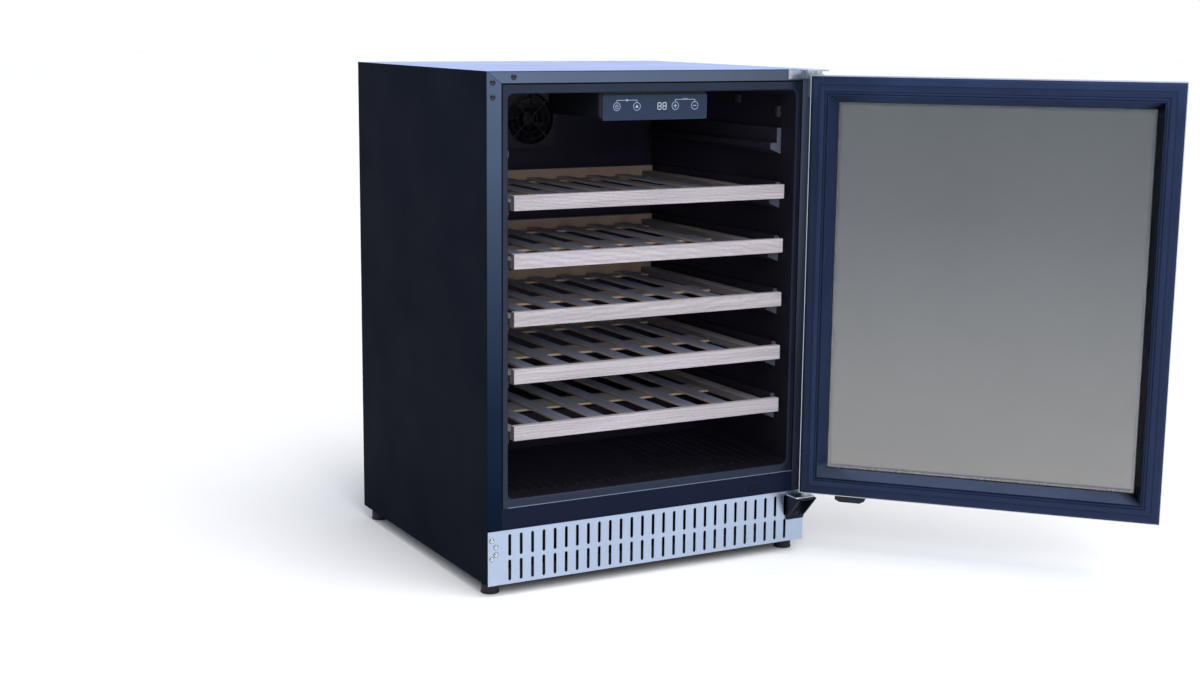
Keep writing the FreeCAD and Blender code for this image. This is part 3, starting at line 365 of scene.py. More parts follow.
# the door's zones are places on the row axes with the door open as in the photograph
DOOR_PLASTIC = moulded("door_frame_plastic", (0.0105, 0.019, 0.051), 0.36, 0.12, 0.03, 3000)
# painted light on the door's top bar, and painted shade near the hinge
DOOR_PLASTIC.painted_light_along("Z", 0.1, 0.85, (0.76, 1.0), (0.785, 1.45))
DOOR_PLASTIC.painted_light_along("X", 0.28, 0.42, (0.325, 0.72), (0.37, 1.0))
DOOR_GLOSS = moulded("door_bevel_gloss", (0.007, 0.011, 0.027), 0.15, 0.09, 0.008, 3000)
# painted reflection on the glossy bevel: lighter along the door, dark at its far end, warmer and
# lighter at the bottom
DOOR_GLOSS.painted_light_along("X", 0.28, 0.72, (0.322, 1.8), (0.335, 2.4), (0.635, 2.4), (0.65, 0.15))
DOOR_GLOSS.painted_light_along("Z", 0.1, 0.3, (0.158, (2.9, 2.4, 1.7)), (0.166, 1.0))
RUBBER = moulded("gasket_rubber", (0.012, 0.02, 0.053), 0.42, 0.12, 0.04, 1600)
# painted highlight: the housing's ribs are lighter than the housing plastic
HOUSING_RIB = moulded("housing_rib_plastic", (0.05, 0.055, 0.07), 0.4)
# painted shade for screw recesses and the dark rings round screw heads
RECESS = moulded("screw_recess", (0.02, 0.02, 0.022), 0.6, 0.3)
SENSOR = moulded("sensor_plastic", (0.0045, 0.0066, 0.018), 0.35, 0.08, 0.02)
CAP = moulded("hole_cap_plastic", (0.003, 0.004, 0.012), 0.18, 0.5, 0.02)
FAN = moulded("fan_plastic", (0.023, 0.024, 0.038), 0.4, 0.25)
# painted shade inside the cavity, lighter at the back and walls, and on the rim past the hinge side
LINER = stepped("liner_plastic", (0.0105, 0.0098, 0.015), (0.014, 0.02, 0.038),
                -0.2625, 0.38, 0.14, hinge_side=0.25)
# painted highlight along the liner's lower front lip
LIP = moulded("liner_lip_plastic", (0.105, 0.14, 0.215), 0.3, 0.4, 0.02)
# painted shade: the rails are dark behind their lighter front ends, inside the cavity
RAIL = stepped("rail_plastic", (0.017, 0.016, 0.026), (0.06, 0.069, 0.09), -0.2238, 0.42, 0.3)
FOOT = moulded("foot_rubber", (0.012, 0.013, 0.016), 0.6, 0.35, 0.15, 900)
PROBE = moulded("probe_plastic", (0.02, 0.021, 0.028), 0.5)
BUSH = moulded("bush_plastic", (0.62, 0.62, 0.6), 0.45)
LAMP = moulded("lamp_diffuser", (0.55, 0.58, 0.6), 0.35, grain=0.2, scale=1200)
FASCIA = powder_paint("fascia_finish", (0.014, 0.024, 0.05), 0.38, 0.22, 0.02)
WINDOW = moulded("display_filter", (0.006, 0.008, 0.014), 0.12, 0.5, 0.01)
BOARD = moulded("board_laminate", (0.02, 0.16, 0.06), 0.4, grain=0.2, scale=700)
STEEL = brushed("kickplate_steel", (0.475, 0.56, 0.715), 0.34, "X")
DOOR_STEEL = brushed("door_steel", (0.6, 0.64, 0.72), 0.3, "Z")
BRIGHT = brushed("plated_steel", (0.62, 0.66, 0.72), 0.24, "Z", 0.04)
BLACK_STEEL = brushed("black_screw_steel", (0.03, 0.033, 0.045), 0.3, "Z", 0.04)
ZINC = zinc_coat("zinc_coat")
ALLOY = brushed("spacer_alloy", (0.74, 0.76, 0.8), 0.22, "Z", 0.05)
COIL = powder_paint("coil_paint", (0.02, 0.021, 0.023), 0.5)
COMPRESSOR = powder_paint("compressor_paint", (0.013, 0.013, 0.015), 0.35, 0.5, 0.12)
BRACKET = powder_paint("bracket_paint", (0.004, 0.0055, 0.012), 0.36, 0.16)
EVAPORATOR = brushed("evaporator_sheet", (0.66, 0.67, 0.7), 0.35, "X")
INSULATION = foam("insulation_foam")
WOOD_BOARD = beech("beech_board", (0.425, 0.395, 0.435), (0.312, 0.275, 0.297), "X", 0.46)
# painted reflection: the slat tops are blue-grey, the sides the warmer wood
WOOD_SLAT = beech("beech_slat", (0.31, 0.335, 0.445), (0.222, 0.235, 0.315), "Y", 0.5,
                  edge=(0.52, 0.38, 0.26))
WOOD_RAIL = beech("beech_rail", (0.335, 0.31, 0.32), (0.24, 0.21, 0.215), "X", 0.55,
                  edge=(0.46, 0.33, 0.24))
GLASS = pane_glass("smoked_glass", 0.15, 0.77,
                   (0.733, 0.73, 0.727), (0.643, 0.653, 0.66), (0.591, 0.607, 0.616))
# painted glow on the printed icons and the display digits
ICON = glowing("icon_print", (0.34, 0.42, 0.56), 0.2)
DIGIT = glowing("digit_segments", (0.32, 0.4, 0.54), 0.26)

SHELVES = range(1, 6)
NODE_LOOKS = {name: look for look, names in (
    (PAINT, "side_panel_left side_panel_right"),
    (LID, "top_panel"),
    (FRONT_PAINT, "lower_crossbar"),
    (SHEET, "base_tray rear_grille"),
    (ZINC, "back_panel"),
    (PLASTIC, "cord_gland circulation_impeller condenser_impeller control_housing"
              " hinge_hole_plugs door_stop_block"),
    (FAN, "circulation_fan_frame condenser_fan_frame"),
    (SENSOR, "door_sensor"),
    (LINER, "liner"),
    (RAIL, "shelf_rails_left shelf_rails_right"),
    (PROBE, "temperature_probes"),
    (LAMP, "lamp_lens"),
    (FASCIA, "control_fascia"),
    (WINDOW, "display_window"),
    (BOARD, "controller_board"),
    (INSULATION, "foam_body"),
    (EVAPORATOR, "evaporator_plate"),
    (COMPRESSOR, "compressor"),
    (COIL, "condenser_coil"),
    (STEEL, "kickplate"),
    (FOOT, "levelling_feet"),
    (BRIGHT, "upper_hinge_bracket upper_hinge_pin upper_hinge_screws lower_hinge_plate"
             " kickplate_screws"),
    (BRACKET, "lower_hinge_bracket"),
    (BUSH, "hinge_bushes"),
    (DOOR_STEEL, "door_outer_frame handle_bar handle_posts"),
    (DOOR_PLASTIC, "door_inner_frame"),
    (RUBBER, "door_gasket"),
    (GLASS, "inner_pane outer_pane"),
    (ALLOY, "glass_spacer"),
) for name in names.split()}
for part, look in (("front_board", WOOD_BOARD), ("frame", WOOD_RAIL), ("slats", WOOD_SLAT)):
    NODE_LOOKS.update({f"shelf_{i}_{part}": look for i in SHELVES})
for name, item in nodes.items():
    item.data.materials.clear()
    item.data.materials.append(NODE_LOOKS[name].material)


# ---- mesh builders, sizes in millimetres
def XY(a, b, level):
    return Vector((a, b, level))


def XZ(a, b, level):
    return Vector((a, level, b))


def YZ(a, b, level):
    return Vector((level, a, b))


HINGE = Vector((287.5, -290.5, 0))
DOOR_TURN = 133.3  # degrees from closed to the frame's rest pose
SWING = (
    Matrix.Translation(HINGE * MM) @ Matrix.Rotation(radians(DOOR_TURN), 4, "Z")
    @ Matrix.Translation(-HINGE * MM)
)


def add_object(name, data):
    item = bpy.data.objects.new(name, data)
    bpy.context.collection.objects.link(item)
    return item


def mesh_of(name, bm):
    mesh = bpy.data.meshes.new(name)
    bm.to_mesh(mesh)
    bm.free()
    return mesh


def finish_piece(name, bm, looks, replaces=None, body="cabinet", flat_angle=38, weld=True):
    """Turns a bmesh into a named piece that rides on a body; the door's are drawn closed."""
    if weld:
        bmesh.ops.remove_doubles(bm, verts=bm.verts, dist=1e-7)
    bmesh.ops.recalc_face_normals(bm, faces=bm.faces)
    if body == "door":
        bmesh.ops.transform(bm, matrix=SWING, verts=bm.verts)
    mesh = mesh_of(name, bm)
    mesh.shade_smooth()
    mesh.set_sharp_from_angle(angle=radians(flat_angle))
    for look in looks if isinstance(looks, list) else [looks]:
        mesh.materials.append(look.material)
    piece = add_object(name, mesh)
    weighted = piece.modifiers.new("even_normals", "WEIGHTED_NORMAL")
    weighted.keep_sharp = True
    weighted.weight = 60
    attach(piece, body)
    if replaces:
        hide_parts(replaces)
    return piece


def sharp_edges(edges, least):
    """The edges whose two faces meet at more than an angle in degrees."""
    return [e for e in edges if len(e.link_faces) == 2 and e.calc_face_angle(0) > radians(least)]


def bevel(bm, edges, radius, segments, **settings):
    bmesh.ops.bevel(bm, geom=edges, offset=radius * MM, segments=segments, profile=0.5,
                    affect="EDGES", **settings)


def round_edges(bm, verts, radius, segments):
    """Rounds the sharp edges among some vertices."""
    bmesh.ops.recalc_face_normals(bm, faces=list({f for v in verts for f in v.link_faces}))
    sharp = sharp_edges({e for v in verts for e in v.link_edges}, 30)
    bevel(bm, sharp, radius, segments, clamp_overlap=True)


def soft_box(bm, x, y, z, radius=0.5, segments=2):
    """A block with rounded edges from its (low, high) pairs."""
    made = bmesh.ops.create_cube(bm, size=1)["verts"]
    for vert in made:
        vert.co = Vector([
            (low + high) / 2 + part * (high - low) for (low, high), part in zip((x, y, z), vert.co)
        ]) * MM
    round_edges(bm, made, radius, segments)


def thicken(bm, faces, shift):
    """Sweeps faces by a vector and gives the new vertices."""
    made = bmesh.ops.extrude_face_region(bm, geom=faces)["geom"]
    moved = [g for g in made if isinstance(g, bmesh.types.BMVert)]
    bmesh.ops.translate(bm, verts=moved, vec=shift * MM)
    return moved


def ring_of(bm, points, level, place=XZ):
    """Vertices at points of one level."""
    return [bm.verts.new(place(a, b, level) * MM) for a, b in points]


def slab(bm, outline, low, high, radius=0, place=XZ):
    """A flat outline swept between two levels, its sharp edges rounded if there is a radius."""
    start = ring_of(bm, outline, low, place)
    moved = thicken(bm, [bm.faces.new(start)], place(0, 0, high - low))
    if radius:
        round_edges(bm, start + moved, radius, 3)


def skin(bm, rings, closed=False, capped=False):
    """Faces from ring to ring of vertices, and over both ends if capped; gives them band by band."""
    bands = []
    for ring, after in zip(rings, rings[1:] + (rings[:1] if closed else [])):
        corners = zip(ring, ring[1:] + ring[:1], after[1:] + after[:1], after)
        bands.append([bm.faces.new(corner) for corner in corners])
    if capped:
        bm.faces.new(rings[0])
        bm.faces.new(rings[-1])
    return bands


def circle(steps, first=0):
    """Cosine and sine of each step of a full turn, from a first angle in degrees."""
    angles = (radians(first) + 2 * pi * i / steps for i in range(steps))
    return [(cos(a), sin(a)) for a in angles]


def rounded_outline(x0, x1, z0, z1, radius, steps=8):
    """Points round a rectangle with round corners."""
    points = []
    for across, up, start in (
        (x1 - radius, z0 + radius, -90), (x1 - radius, z1 - radius, 0),
        (x0 + radius, z1 - radius, 90), (x0 + radius, z0 + radius, 180),
    ):
        for i in range(steps + 1):
            angle = radians(start + 90 * i / steps)
            points.append((across + radius * cos(angle), up + radius * sin(angle)))
    return points


def eased_profile(points, radii, steps=3):
    """A closed outline with its corners rounded, one radius per corner."""
    count, eased = len(points), []
    for i, (point, radius) in enumerate(zip(points, radii)):
        here = Vector(point)
        before, after = Vector(points[i - 1]) - here, Vector(points[(i + 1) % count]) - here
        reach = min(radius, before.length * 0.45, after.length * 0.45)
        if reach <= 0:
            eased.append(tuple(here))
            continue
        start, end = here + before.normalized() * reach, here + after.normalized() * reach
        for k in range(steps + 1):
            t = k / steps
            eased.append(tuple(start * (1 - t) ** 2 + here * 2 * t * (1 - t) + end * t * t))
    return eased


def lathe(bm, centre, profile, place=XY, steps=32):
    """A profile of (radius, height) points turned round the centre, about Z or, with XZ, about Y."""
    skin(bm, [
        [bm.verts.new((Vector(centre) + place(radius * c, radius * s, height)) * MM)
         for c, s in circle(steps)] for radius, height in profile
    ], capped=True)


def slot_sides(across, low, high, radius, steps=4):
    """An upright slot's left side from its lowest point up, and its right side down again."""
    rising = []
    for centre, start in ((low + radius, 270), (high - radius, 180)):
        for i in range(steps + 1):
            angle = radians(start - 90 * i / steps)
            rising.append((across + radius * cos(angle), centre + radius * sin(angle)))
    mirrored = [(2 * across - a, b) for a, b in reversed(rising[1:-1])]
    return rising, [rising[-1], *mirrored, rising[0]]


SLOT_PITCH = 20


def slotted_plate(bm, half_width, y, z, rows, columns, width, radius):
    """A sheet with rows of upright slots; columns are the slot centres."""
    levels = [z[0]] + [(a[1] + b[0]) / 2 for a, b in zip(rows, rows[1:])] + [z[1]]
    edges = [columns[0] - SLOT_PITCH / 2] + [c + SLOT_PITCH / 2 for c in columns]
    front = {}

    def face(*points):
        corners = []
        for a, b in points:
            key = (round(a, 4), round(b, 4))
            if key not in front:
                front[key] = bm.verts.new(Vector((a, y[0], b)) * MM)
            corners.append(front[key])
        bm.faces.new(corners)

    for low, high, row in zip(levels, levels[1:], rows):
        for across, left, right in zip(columns, edges, edges[1:]):
            rising, falling = slot_sides(across, *row, width / 2)
            face((left, low), (across, low), *rising, (across, high), (left, high))
            face((across, low), (right, low), (right, high), (across, high), *falling)
        for a, b in ((-half_width, edges[0]), (edges[-1], half_width)):
            face((a, low), (b, low), (b, high), (a, high))
    thicken(bm, list(bm.faces), Vector((0, y[1] - y[0], 0)))
    bmesh.ops.recalc_face_normals(bm, faces=bm.faces)
    rims = [e for e in sharp_edges(bm.edges, 50) if abs(e.verts[0].co.y - e.verts[1].co.y) < 1e-6]
    bevel(bm, rims, radius, 2)


def eased_node(name, radius, segments=2, chosen=lambda middle, length: True):
    """A CAD node's own mesh, cleaned to flat faces, with its sharp edges rounded.

    chosen tests an edge by its middle and length.
    """
    bm = bmesh.new()
    bm.from_mesh(nodes[name].data)
    bmesh.ops.remove_doubles(bm, verts=bm.verts, dist=1e-6)
    bmesh.ops.dissolve_limit(bm, angle_limit=radians(0.6), verts=bm.verts, edges=bm.edges)
    bmesh.ops.recalc_face_normals(bm, faces=bm.faces)
    edges = [
        e for e in sharp_edges(bm.edges, 32)
        if chosen((e.verts[0].co + e.verts[1].co) / 2 / MM, e.calc_length() / MM)
    ]
    bevel(bm, edges, radius, segments, clamp_overlap=True, loop_slide=True)
    finish_piece(name + "_eased", bm, NODE_LOOKS[name], name, nodes[name]["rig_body"])


# ---- door pieces, drawn closed and swung open
DOOR_X = (-288, 297)
DOOR_Z = (111, 811)
DOOR_OUT, DOOR_IN = -313.1, -270.7
GLASS_Y = -292.7
BEVEL_INSET = 31.3  # the inner frame's bevel down to the glass starts here
BUSH_RADIUS = 6.5
BUSH_LEVELS = ((110, 126.2), (795.8, 812))
HANDLE_X, HANDLE_Y = -262, -347.1


def sweep_frame(profile, second=None):
    """A bmesh of a profile swept round the door: insets from its outline, with their Y levels.

    second, if given, tests a profile step's middle for the piece's second material.
    """
    bm, rings = bmesh.new(), []
    for inset, level in profile:
        (left, right), (bottom, top) = ((low + inset, high - inset) for low, high in (DOOR_X, DOOR_Z))
        corners = ((right, bottom), (right, top), (left, top), (left, bottom))
        rings.append(ring_of(bm, corners, level))
    bands = skin(bm, rings, closed=True)
    for start, end, band in zip(profile, profile[1:] + profile[:1], bands):
        if second and second((start[0] + end[0]) / 2, (start[1] + end[1]) / 2):
            for face in band:
                face.material_index = 1
    return bm


def carve_bushes(piece):
    """Opens the hinge bush holes in a door piece."""
    for low, high in BUSH_LEVELS:
        bm = bmesh.new()
        lathe(bm, HINGE, [(BUSH_RADIUS, low), (BUSH_RADIUS, high)], steps=40)
        bmesh.ops.recalc_face_normals(bm, faces=bm.faces)
        bmesh.ops.transform(bm, matrix=SWING, verts=bm.verts)
        cutter = add_object("cutter", mesh_of("cutter", bm))
        cutting = piece.modifiers.new("bush_hole", "BOOLEAN")
        cutting.object, cutting.operation, cutting.solver = cutter, "DIFFERENCE", "EXACT"
        piece.modifiers.move(len(piece.modifiers) - 1, 0)
        bpy.context.view_layer.update()
        seen = piece.evaluated_get(bpy.context.evaluated_depsgraph_get())
        cut_mesh = bpy.data.meshes.new_from_object(seen)
        piece.modifiers.remove(cutting)
        cut_mesh.name = piece.data.name + "_cut"
        piece.data = cut_mesh
        bpy.data.objects.remove(cutter)


def add_door_frame():
    bm = sweep_frame(eased_profile(
        [(1.25, -274.8), (5.2, DOOR_IN), (14.5, DOOR_IN), (14.5, -272.2), (25, -272.2), (25, DOOR_IN),
         (28.3, DOOR_IN), (28.5, DOOR_IN - 3), (29.8, DOOR_IN - 3), (30, DOOR_IN), (31.2, DOOR_IN),
         (43.4, GLASS_Y), (38.5, GLASS_Y), (38.5, -311.85), (1.25, -311.85)],
        [0.8, 2.2, 0.4, 0.2, 0.2, 0.5, 0.5, 0.1, 0.1, 0.2, 0.8, 0.6, 0, 0, 0.4],
    ), second=lambda inset, level: inset > BEVEL_INSET and level > -300)
    carve_bushes(finish_piece("door_frame_moulding", bm, [DOOR_PLASTIC, DOOR_GLOSS],
                              "door_inner_frame", "door", 50))
    bm = sweep_frame(eased_profile(
        [(0, -274.7), (0, DOOR_OUT), (45.4, DOOR_OUT), (45.4, -311.9), (1.2, -311.9), (1.2, -274.7)],
        [0.4, 1.8, 0.5, 0.3, 0.8, 0.4], 4,
    ))
    carve_bushes(finish_piece("door_steel_skin", bm, DOOR_STEEL,
                              "door_outer_frame", "door", 50))
    bm = sweep_frame([
        (14.75, -272.1), (14.75, -270.4), (14.9, -269.8), (15.6, -269.5), (16.3, -269.7),
        (16.8, -269), (17.6, -268.2), (19, -267.9), (20.6, -267.85), (22.4, -267.95),
        (23.8, -268.4), (24.6, -269.3), (24.75, -270.4), (24.75, -272.1),
    ])
    finish_piece("door_seal_bulb", bm, RUBBER, "door_gasket", "door", 60)


def add_glazing():
    for name, low, high in (("inner_pane", -296.7, GLASS_Y), ("outer_pane", -311.7, -307.7)):
        bm = bmesh.new()
        soft_box(bm, (-249, 258), (low, high), (150, 772))
        finish_piece(name + "_ground", bm, GLASS, name, "door")
    bm = sweep_frame(eased_profile(
        [(39.1, -307.6), (39.1, -296.8), (47.6, -296.8), (48, -298.4), (48, -306), (47.6, -307.6)],
        [0.3, 0.3, 0.5, 0.4, 0.4, 0.5],
    ))
    finish_piece("pane_spacer_bar", bm, ALLOY, "glass_spacer", "door", 50)


def add_handle():
    bm = bmesh.new()
    lathe(bm, (HANDLE_X, HANDLE_Y, 0), [
        (3.6, 301), (5, 301.3), (5.7, 302.2), (6, 303.6),
        (6, 618.4), (5.7, 619.8), (5, 620.7), (3.6, 621),
    ], steps=40)
    finish_piece("handle_bar_turned", bm, DOOR_STEEL, "handle_bar", "door")
    bm = bmesh.new()
    for level in (331, 591):
        lathe(bm, (HANDLE_X, 0, level), [
            (4.3, -344.5), (4.3, -318), (4.8, -315.2), (6.4, -313.9), (6.4, -313.15),
        ], place=XZ)
    finish_piece("handle_posts_turned", bm, DOOR_STEEL, "handle_posts", "door")


def add_door_stop():
    bm = bmesh.new()
    right, top = HINGE.x - 51, DOOR_Z[0]
    slab(bm, [(right, top), (right, top - 8), (right - 8, top - 12), (right - 42, top - 12),
              (right - 50, top - 8), (right - 50, top)], DOOR_IN - 30, DOOR_IN - 10, 1.2)
    finish_piece("door_stop_moulding", bm, PLASTIC, "door_stop_block", "door")


# ---- liner
CAVITY = (-261.5, 261.5, 156, 786)
RIM = (-271.1, 271.1, 142.4, 799.6)
FACE_Y = -267.5
BACK_Y = 208.5
WALL_Y = -266.2  # the rim's rear side
BEND = 3.5
SIDE_X = 261.4  # the liner's floor and back reach this far on both sides


def grown(box, amount):
    return (box[0] - amount, box[1] + amount, box[2] - amount, box[3] + amount)


def add_liner():
    bm = bmesh.new()
    levels = [(RIM, 1, WALL_Y), (RIM, 1, FACE_Y + 0.3), (grown(RIM, -0.3), 1, FACE_Y)]
    for i in range(6):
        angle = radians(90 * i / 5)
        out = BEND * (1 - sin(angle))
        levels.append((grown(CAVITY, out), 10 + out, FACE_Y + BEND * (1 - cos(angle))))
    outer = grown(CAVITY, 1.5)
    levels += [(CAVITY, 10, BACK_Y), (outer, 11.5, BACK_Y), (outer, 11.5, WALL_Y)]
    rings = [ring_of(bm, rounded_outline(*box, radius), level) for box, radius, level in levels]
    skin(bm, rings, closed=True)
    finish_piece("liner_wall", bm, LINER, "liner", flat_angle=50)

    bm = bmesh.new()
    soft_box(bm, (-SIDE_X, SIDE_X), (BACK_Y, BACK_Y + 1.5), (218, 785.8), 0.3)
    step = eased_profile(
        [(32, 156.2), (33.5, 156.2), (33.5, 218.5), (208.4, 218.5), (208.4, 220), (32, 220)],
        [0.2, 0.2, 1, 0.2, 0.2, 5.0], 6,
    )
    slab(bm, step, -SIDE_X, SIDE_X, place=YZ)
    finish_piece("liner_back_and_step", bm, LINER)
    # a thin strip in the lip colour, a painted highlight along the liner's lower front lip
    bm = bmesh.new()
    soft_box(bm, (-262.9, 271.9), (-268.3, FACE_Y + 0.02), (142.4, 143.8), 0.3)
    finish_piece("liner_front_lip", bm, LIP)


def add_floor_ribs():
    foot = 155.9
    section = [(-2.5, 0), (-2.1, 0.8), (-1.2, 1.45), (0, 1.6), (1.2, 1.45), (2.1, 0.8), (2.5, 0)]
    ends = [(-227.6, 0.02), (-227, 0.5), (-226, 0.8), (-224.8, 1),
            (17.3, 1), (18.5, 0.8), (19.5, 0.5), (20, 0.02)]
    bm = bmesh.new()
    for i in range(25):
        centre = 20 * i - 240
        skin(bm, [
            ring_of(bm, [(centre + a * min(1, c + 0.3), foot + b * c) for a, b in section], level)
            for level, c in ends
        ], capped=True)
    finish_piece("liner_floor_ribs", bm, LINER, flat_angle=60)


# ---- shelves and rails
SHELF_TOP, SHELF_PITCH, BOARD_TALL = 631.3, 90.23, 23.6
SLAT_PITCH, SLAT_HALF = 60, 13


def add_shelf(number):
    name = f"shelf_{number}"
    high = SHELF_TOP - SHELF_PITCH * (number - 1)
    low = high - BOARD_TALL
    bm = bmesh.new()
    soft_box(bm, (-248, 248), (-259, -247), (low, high), 1.1, 3)
    finish_piece(name + "_board", bm, WOOD_BOARD, name + "_front_board", name)
    bm = bmesh.new()
    for x in ((-248, -225), (225, 248)):
        soft_box(bm, x, (-246.95, 176.35), (low, low + 12.6), 1.1, 3)
    soft_box(bm, (-248, 248), (176.5, 188.5), (low, high - 1.3), 1.1, 3)
    for y in ((-71, -11), (146.5, 176.4)):
        soft_box(bm, (-224.9, 224.9), y, (low, low + 3.98), 0.9)
    finish_piece(name + "_carcass", bm, WOOD_RAIL, name + "_frame", name)
    bm = bmesh.new()
    for i in range(7):
        centre = SLAT_PITCH * (i - 3)
        wide = (centre - SLAT_HALF, centre + SLAT_HALF)
        soft_box(bm, wide, (-246.95, 176.45), (low + 4, low + 8), 0.6)
    finish_piece(name + "_slat_set", bm, WOOD_SLAT, name + "_slats", name)


def add_rails():
    for side, name in ((-1, "shelf_rails_left"), (1, "shelf_rails_right")):
        bm = bmesh.new()
        for i in range(6):
            low = SHELF_TOP - 43.3 + SHELF_PITCH * (1 - i)
            outline = [(261.5, 0), (241, 9), (241, 19), (253.5, 19), (253.5, 44), (261.5, 44)]
            slab(bm, [(side * a, low + b) for a, b in outline], -225.5, 174.5, 0.8)
        finish_piece(name + "_eased", bm, RAIL, name)


# ---- kickplate, grille, feet
def add_sheets():
    bm = bmesh.new()
    slotted_plate(bm, 297.5, (-268.7, -267.5), (20, 108), [(25.5, 59.5), (66, 101)],
                  [SLOT_PITCH * i - 260 for i in range(27)], 5, 0.25)
    finish_piece("kickplate_pressed", bm, STEEL, "kickplate")
    bm = bmesh.new()
    slotted_plate(bm, 296.2, (266.5, 267.5), (21.5, 224), [(50, 110), (130, 190)],
                  [SLOT_PITCH * i - 270 for i in range(22)], 6, 0.2)
    finish_piece("rear_grille_pressed", bm, SHEET, "rear_grille")
    bm = bmesh.new()
    for x in (-279, 279):
        for y in (-235.5, 237.5):
            lathe(bm, (x, y, 0), [
                (13.6, 0), (14.7, 0.4), (15, 1.3), (14.8, 2.6), (14.1, 3.4), (14.1, 13.4), (13.6, 14.5),
                (12.6, 15), (9, 15.1), (9, 19.4), (8.6, 19.7), (5, 19.7), (5, 33.4), (4.3, 34),
            ], steps=40)
    finish_piece("feet_turned", bm, FOOT, "levelling_feet")


# ---- control panel markings
PANEL_FACE = -257.5
ICON_Z = 763.5
ICON_X = (-70, -34, 36, 72)
PRINT = (PANEL_FACE - 0.07, PANEL_FACE + 0.02)
PRINT_OVER = (PANEL_FACE - 0.08, PANEL_FACE + 0.02)  # where one print crosses another
DIGITS = (PANEL_FACE - 0.18, PANEL_FACE - 0.11)


def flat_ring(bm, across, up, outer, inner, steps, levels=PRINT):
    """A flat annulus that faces forward."""
    low, high = levels
    skin(bm, [
        ring_of(bm, [(across + radius * c, up + radius * s) for c, s in circle(steps)], level)
        for radius, level in ((outer, high), (outer, low), (inner, low), (inner, high))
    ], closed=True)


def mark(bm, across, up, wide, tall, levels=PRINT):
    """A thin printed bar that reaches wide and tall to each side of its middle."""
    corners = [(-wide, -tall), (wide, -tall), (wide, tall), (-wide, tall)]
    slab(bm, [(across + a, up + b) for a, b in corners], *levels)


def add_digit(bm, left, bottom=757.6, width=7.3, tall=11.8, half=0.65, gap=0.22):
    """All seven bars of one lit digit."""
    a, b = left + half, left + width - half
    c, d, e = bottom + half, bottom + tall / 2, bottom + tall - half
    bars = [(a, b, level, False) for level in (c, d, e)]
    bars += [(start, end, across, True) for across in (a, b) for start, end in ((c, d), (d, e))]
    for start, end, middle, upright in bars:
        near, far = start + gap, end - gap
        outline = [(near, middle), (near + half, middle - half), (far - half, middle - half),
                   (far, middle), (far - half, middle + half), (near + half, middle + half)]
        slab(bm, [(v, u) if upright else (u, v) for u, v in outline], *DIGITS)


def add_markings():
    bm = bmesh.new()
    light, power, plus, minus = ICON_X
    for across in ICON_X:
        flat_ring(bm, across, ICON_Z, 6.4, 5.75, 40)
    for left, right in ((light, power), (plus, minus)):
        mark(bm, (left + right) / 2, 773.3, (right - left) / 2 + 0.3, 0.3)
        for across in (left, right):
            mark(bm, across, 771.45, 0.3, 1.55)
    flat_ring(bm, -52, 773.3, 1.9, 1.2, 24, PRINT_OVER)
    for k in range(5):
        mark(bm, 50 + 2 * k, 774.65, 0.6, 0.35)
    flat_ring(bm, light, ICON_Z - 0.4, 2.9, 2.3, 28)
    mark(bm, light, ICON_Z + 1.5, 0.3, 2.1, PRINT_OVER)
    arrow = [(-2.6, -1.9), (2.6, -1.9), (0, 2.9)]
    slab(bm, [(power + a, ICON_Z + b) for a, b in arrow], *PRINT)
    mark(bm, plus, ICON_Z, 3, 0.45)
    mark(bm, plus, ICON_Z, 0.45, 3, PRINT_OVER)
    mark(bm, minus, ICON_Z, 3, 0.45)
    finish_piece("panel_markings", bm, ICON, weld=False)
    bm = bmesh.new()
    for left in (3.1, 12.5):
        add_digit(bm, left)
    finish_piece("display_digits", bm, DIGIT, weld=False)


def add_housing_ribs():
    # thin ribs on the housing's side, in the lighter rib colour that paints their highlight
    bm = bmesh.new()
    for level, tall in ((-252.6, 37), (-248.2, 38), (-243.4, 36)):
        soft_box(bm, (-94.5, -93.55), (level - 0.5, level + 0.5), (784 - tall, 784), 0.3)
    finish_piece("control_housing_ribs", bm, HOUSING_RIB)


# ---- fixings
UPPER_HOLES = [(253, 811), (288, 803), (288, 781)]
LOWER_HOLES = [(291, 93.6), (284, 82.5), (284, 70.4), (291, 63.9)]
BACK_SCREWS = [(x, z) for x in (-283, -95, 95, 283) for z in (236, 808)]
BACK_SCREWS += [(x, z) for x in (-288, 288) for z in (420, 610)]


def cross_recess(bm, across, up, reach, half, turn, sunk, proud):
    """A dark cross on a screw head, painted shade of its recess; its second bar stands 0.009 mm prouder
    than the first.
    """
    away = copysign(0.009, proud - sunk)
    for i in range(2):
        angle = radians(turn + 90 * i)
        c, s = cos(angle), sin(angle)
        bar = [(-reach, -half), (reach, -half), (reach, half), (-reach, half)]
        slab(bm, [(across + a * c - b * s, up + a * s + b * c) for a, b in bar], sunk, proud + away * i)


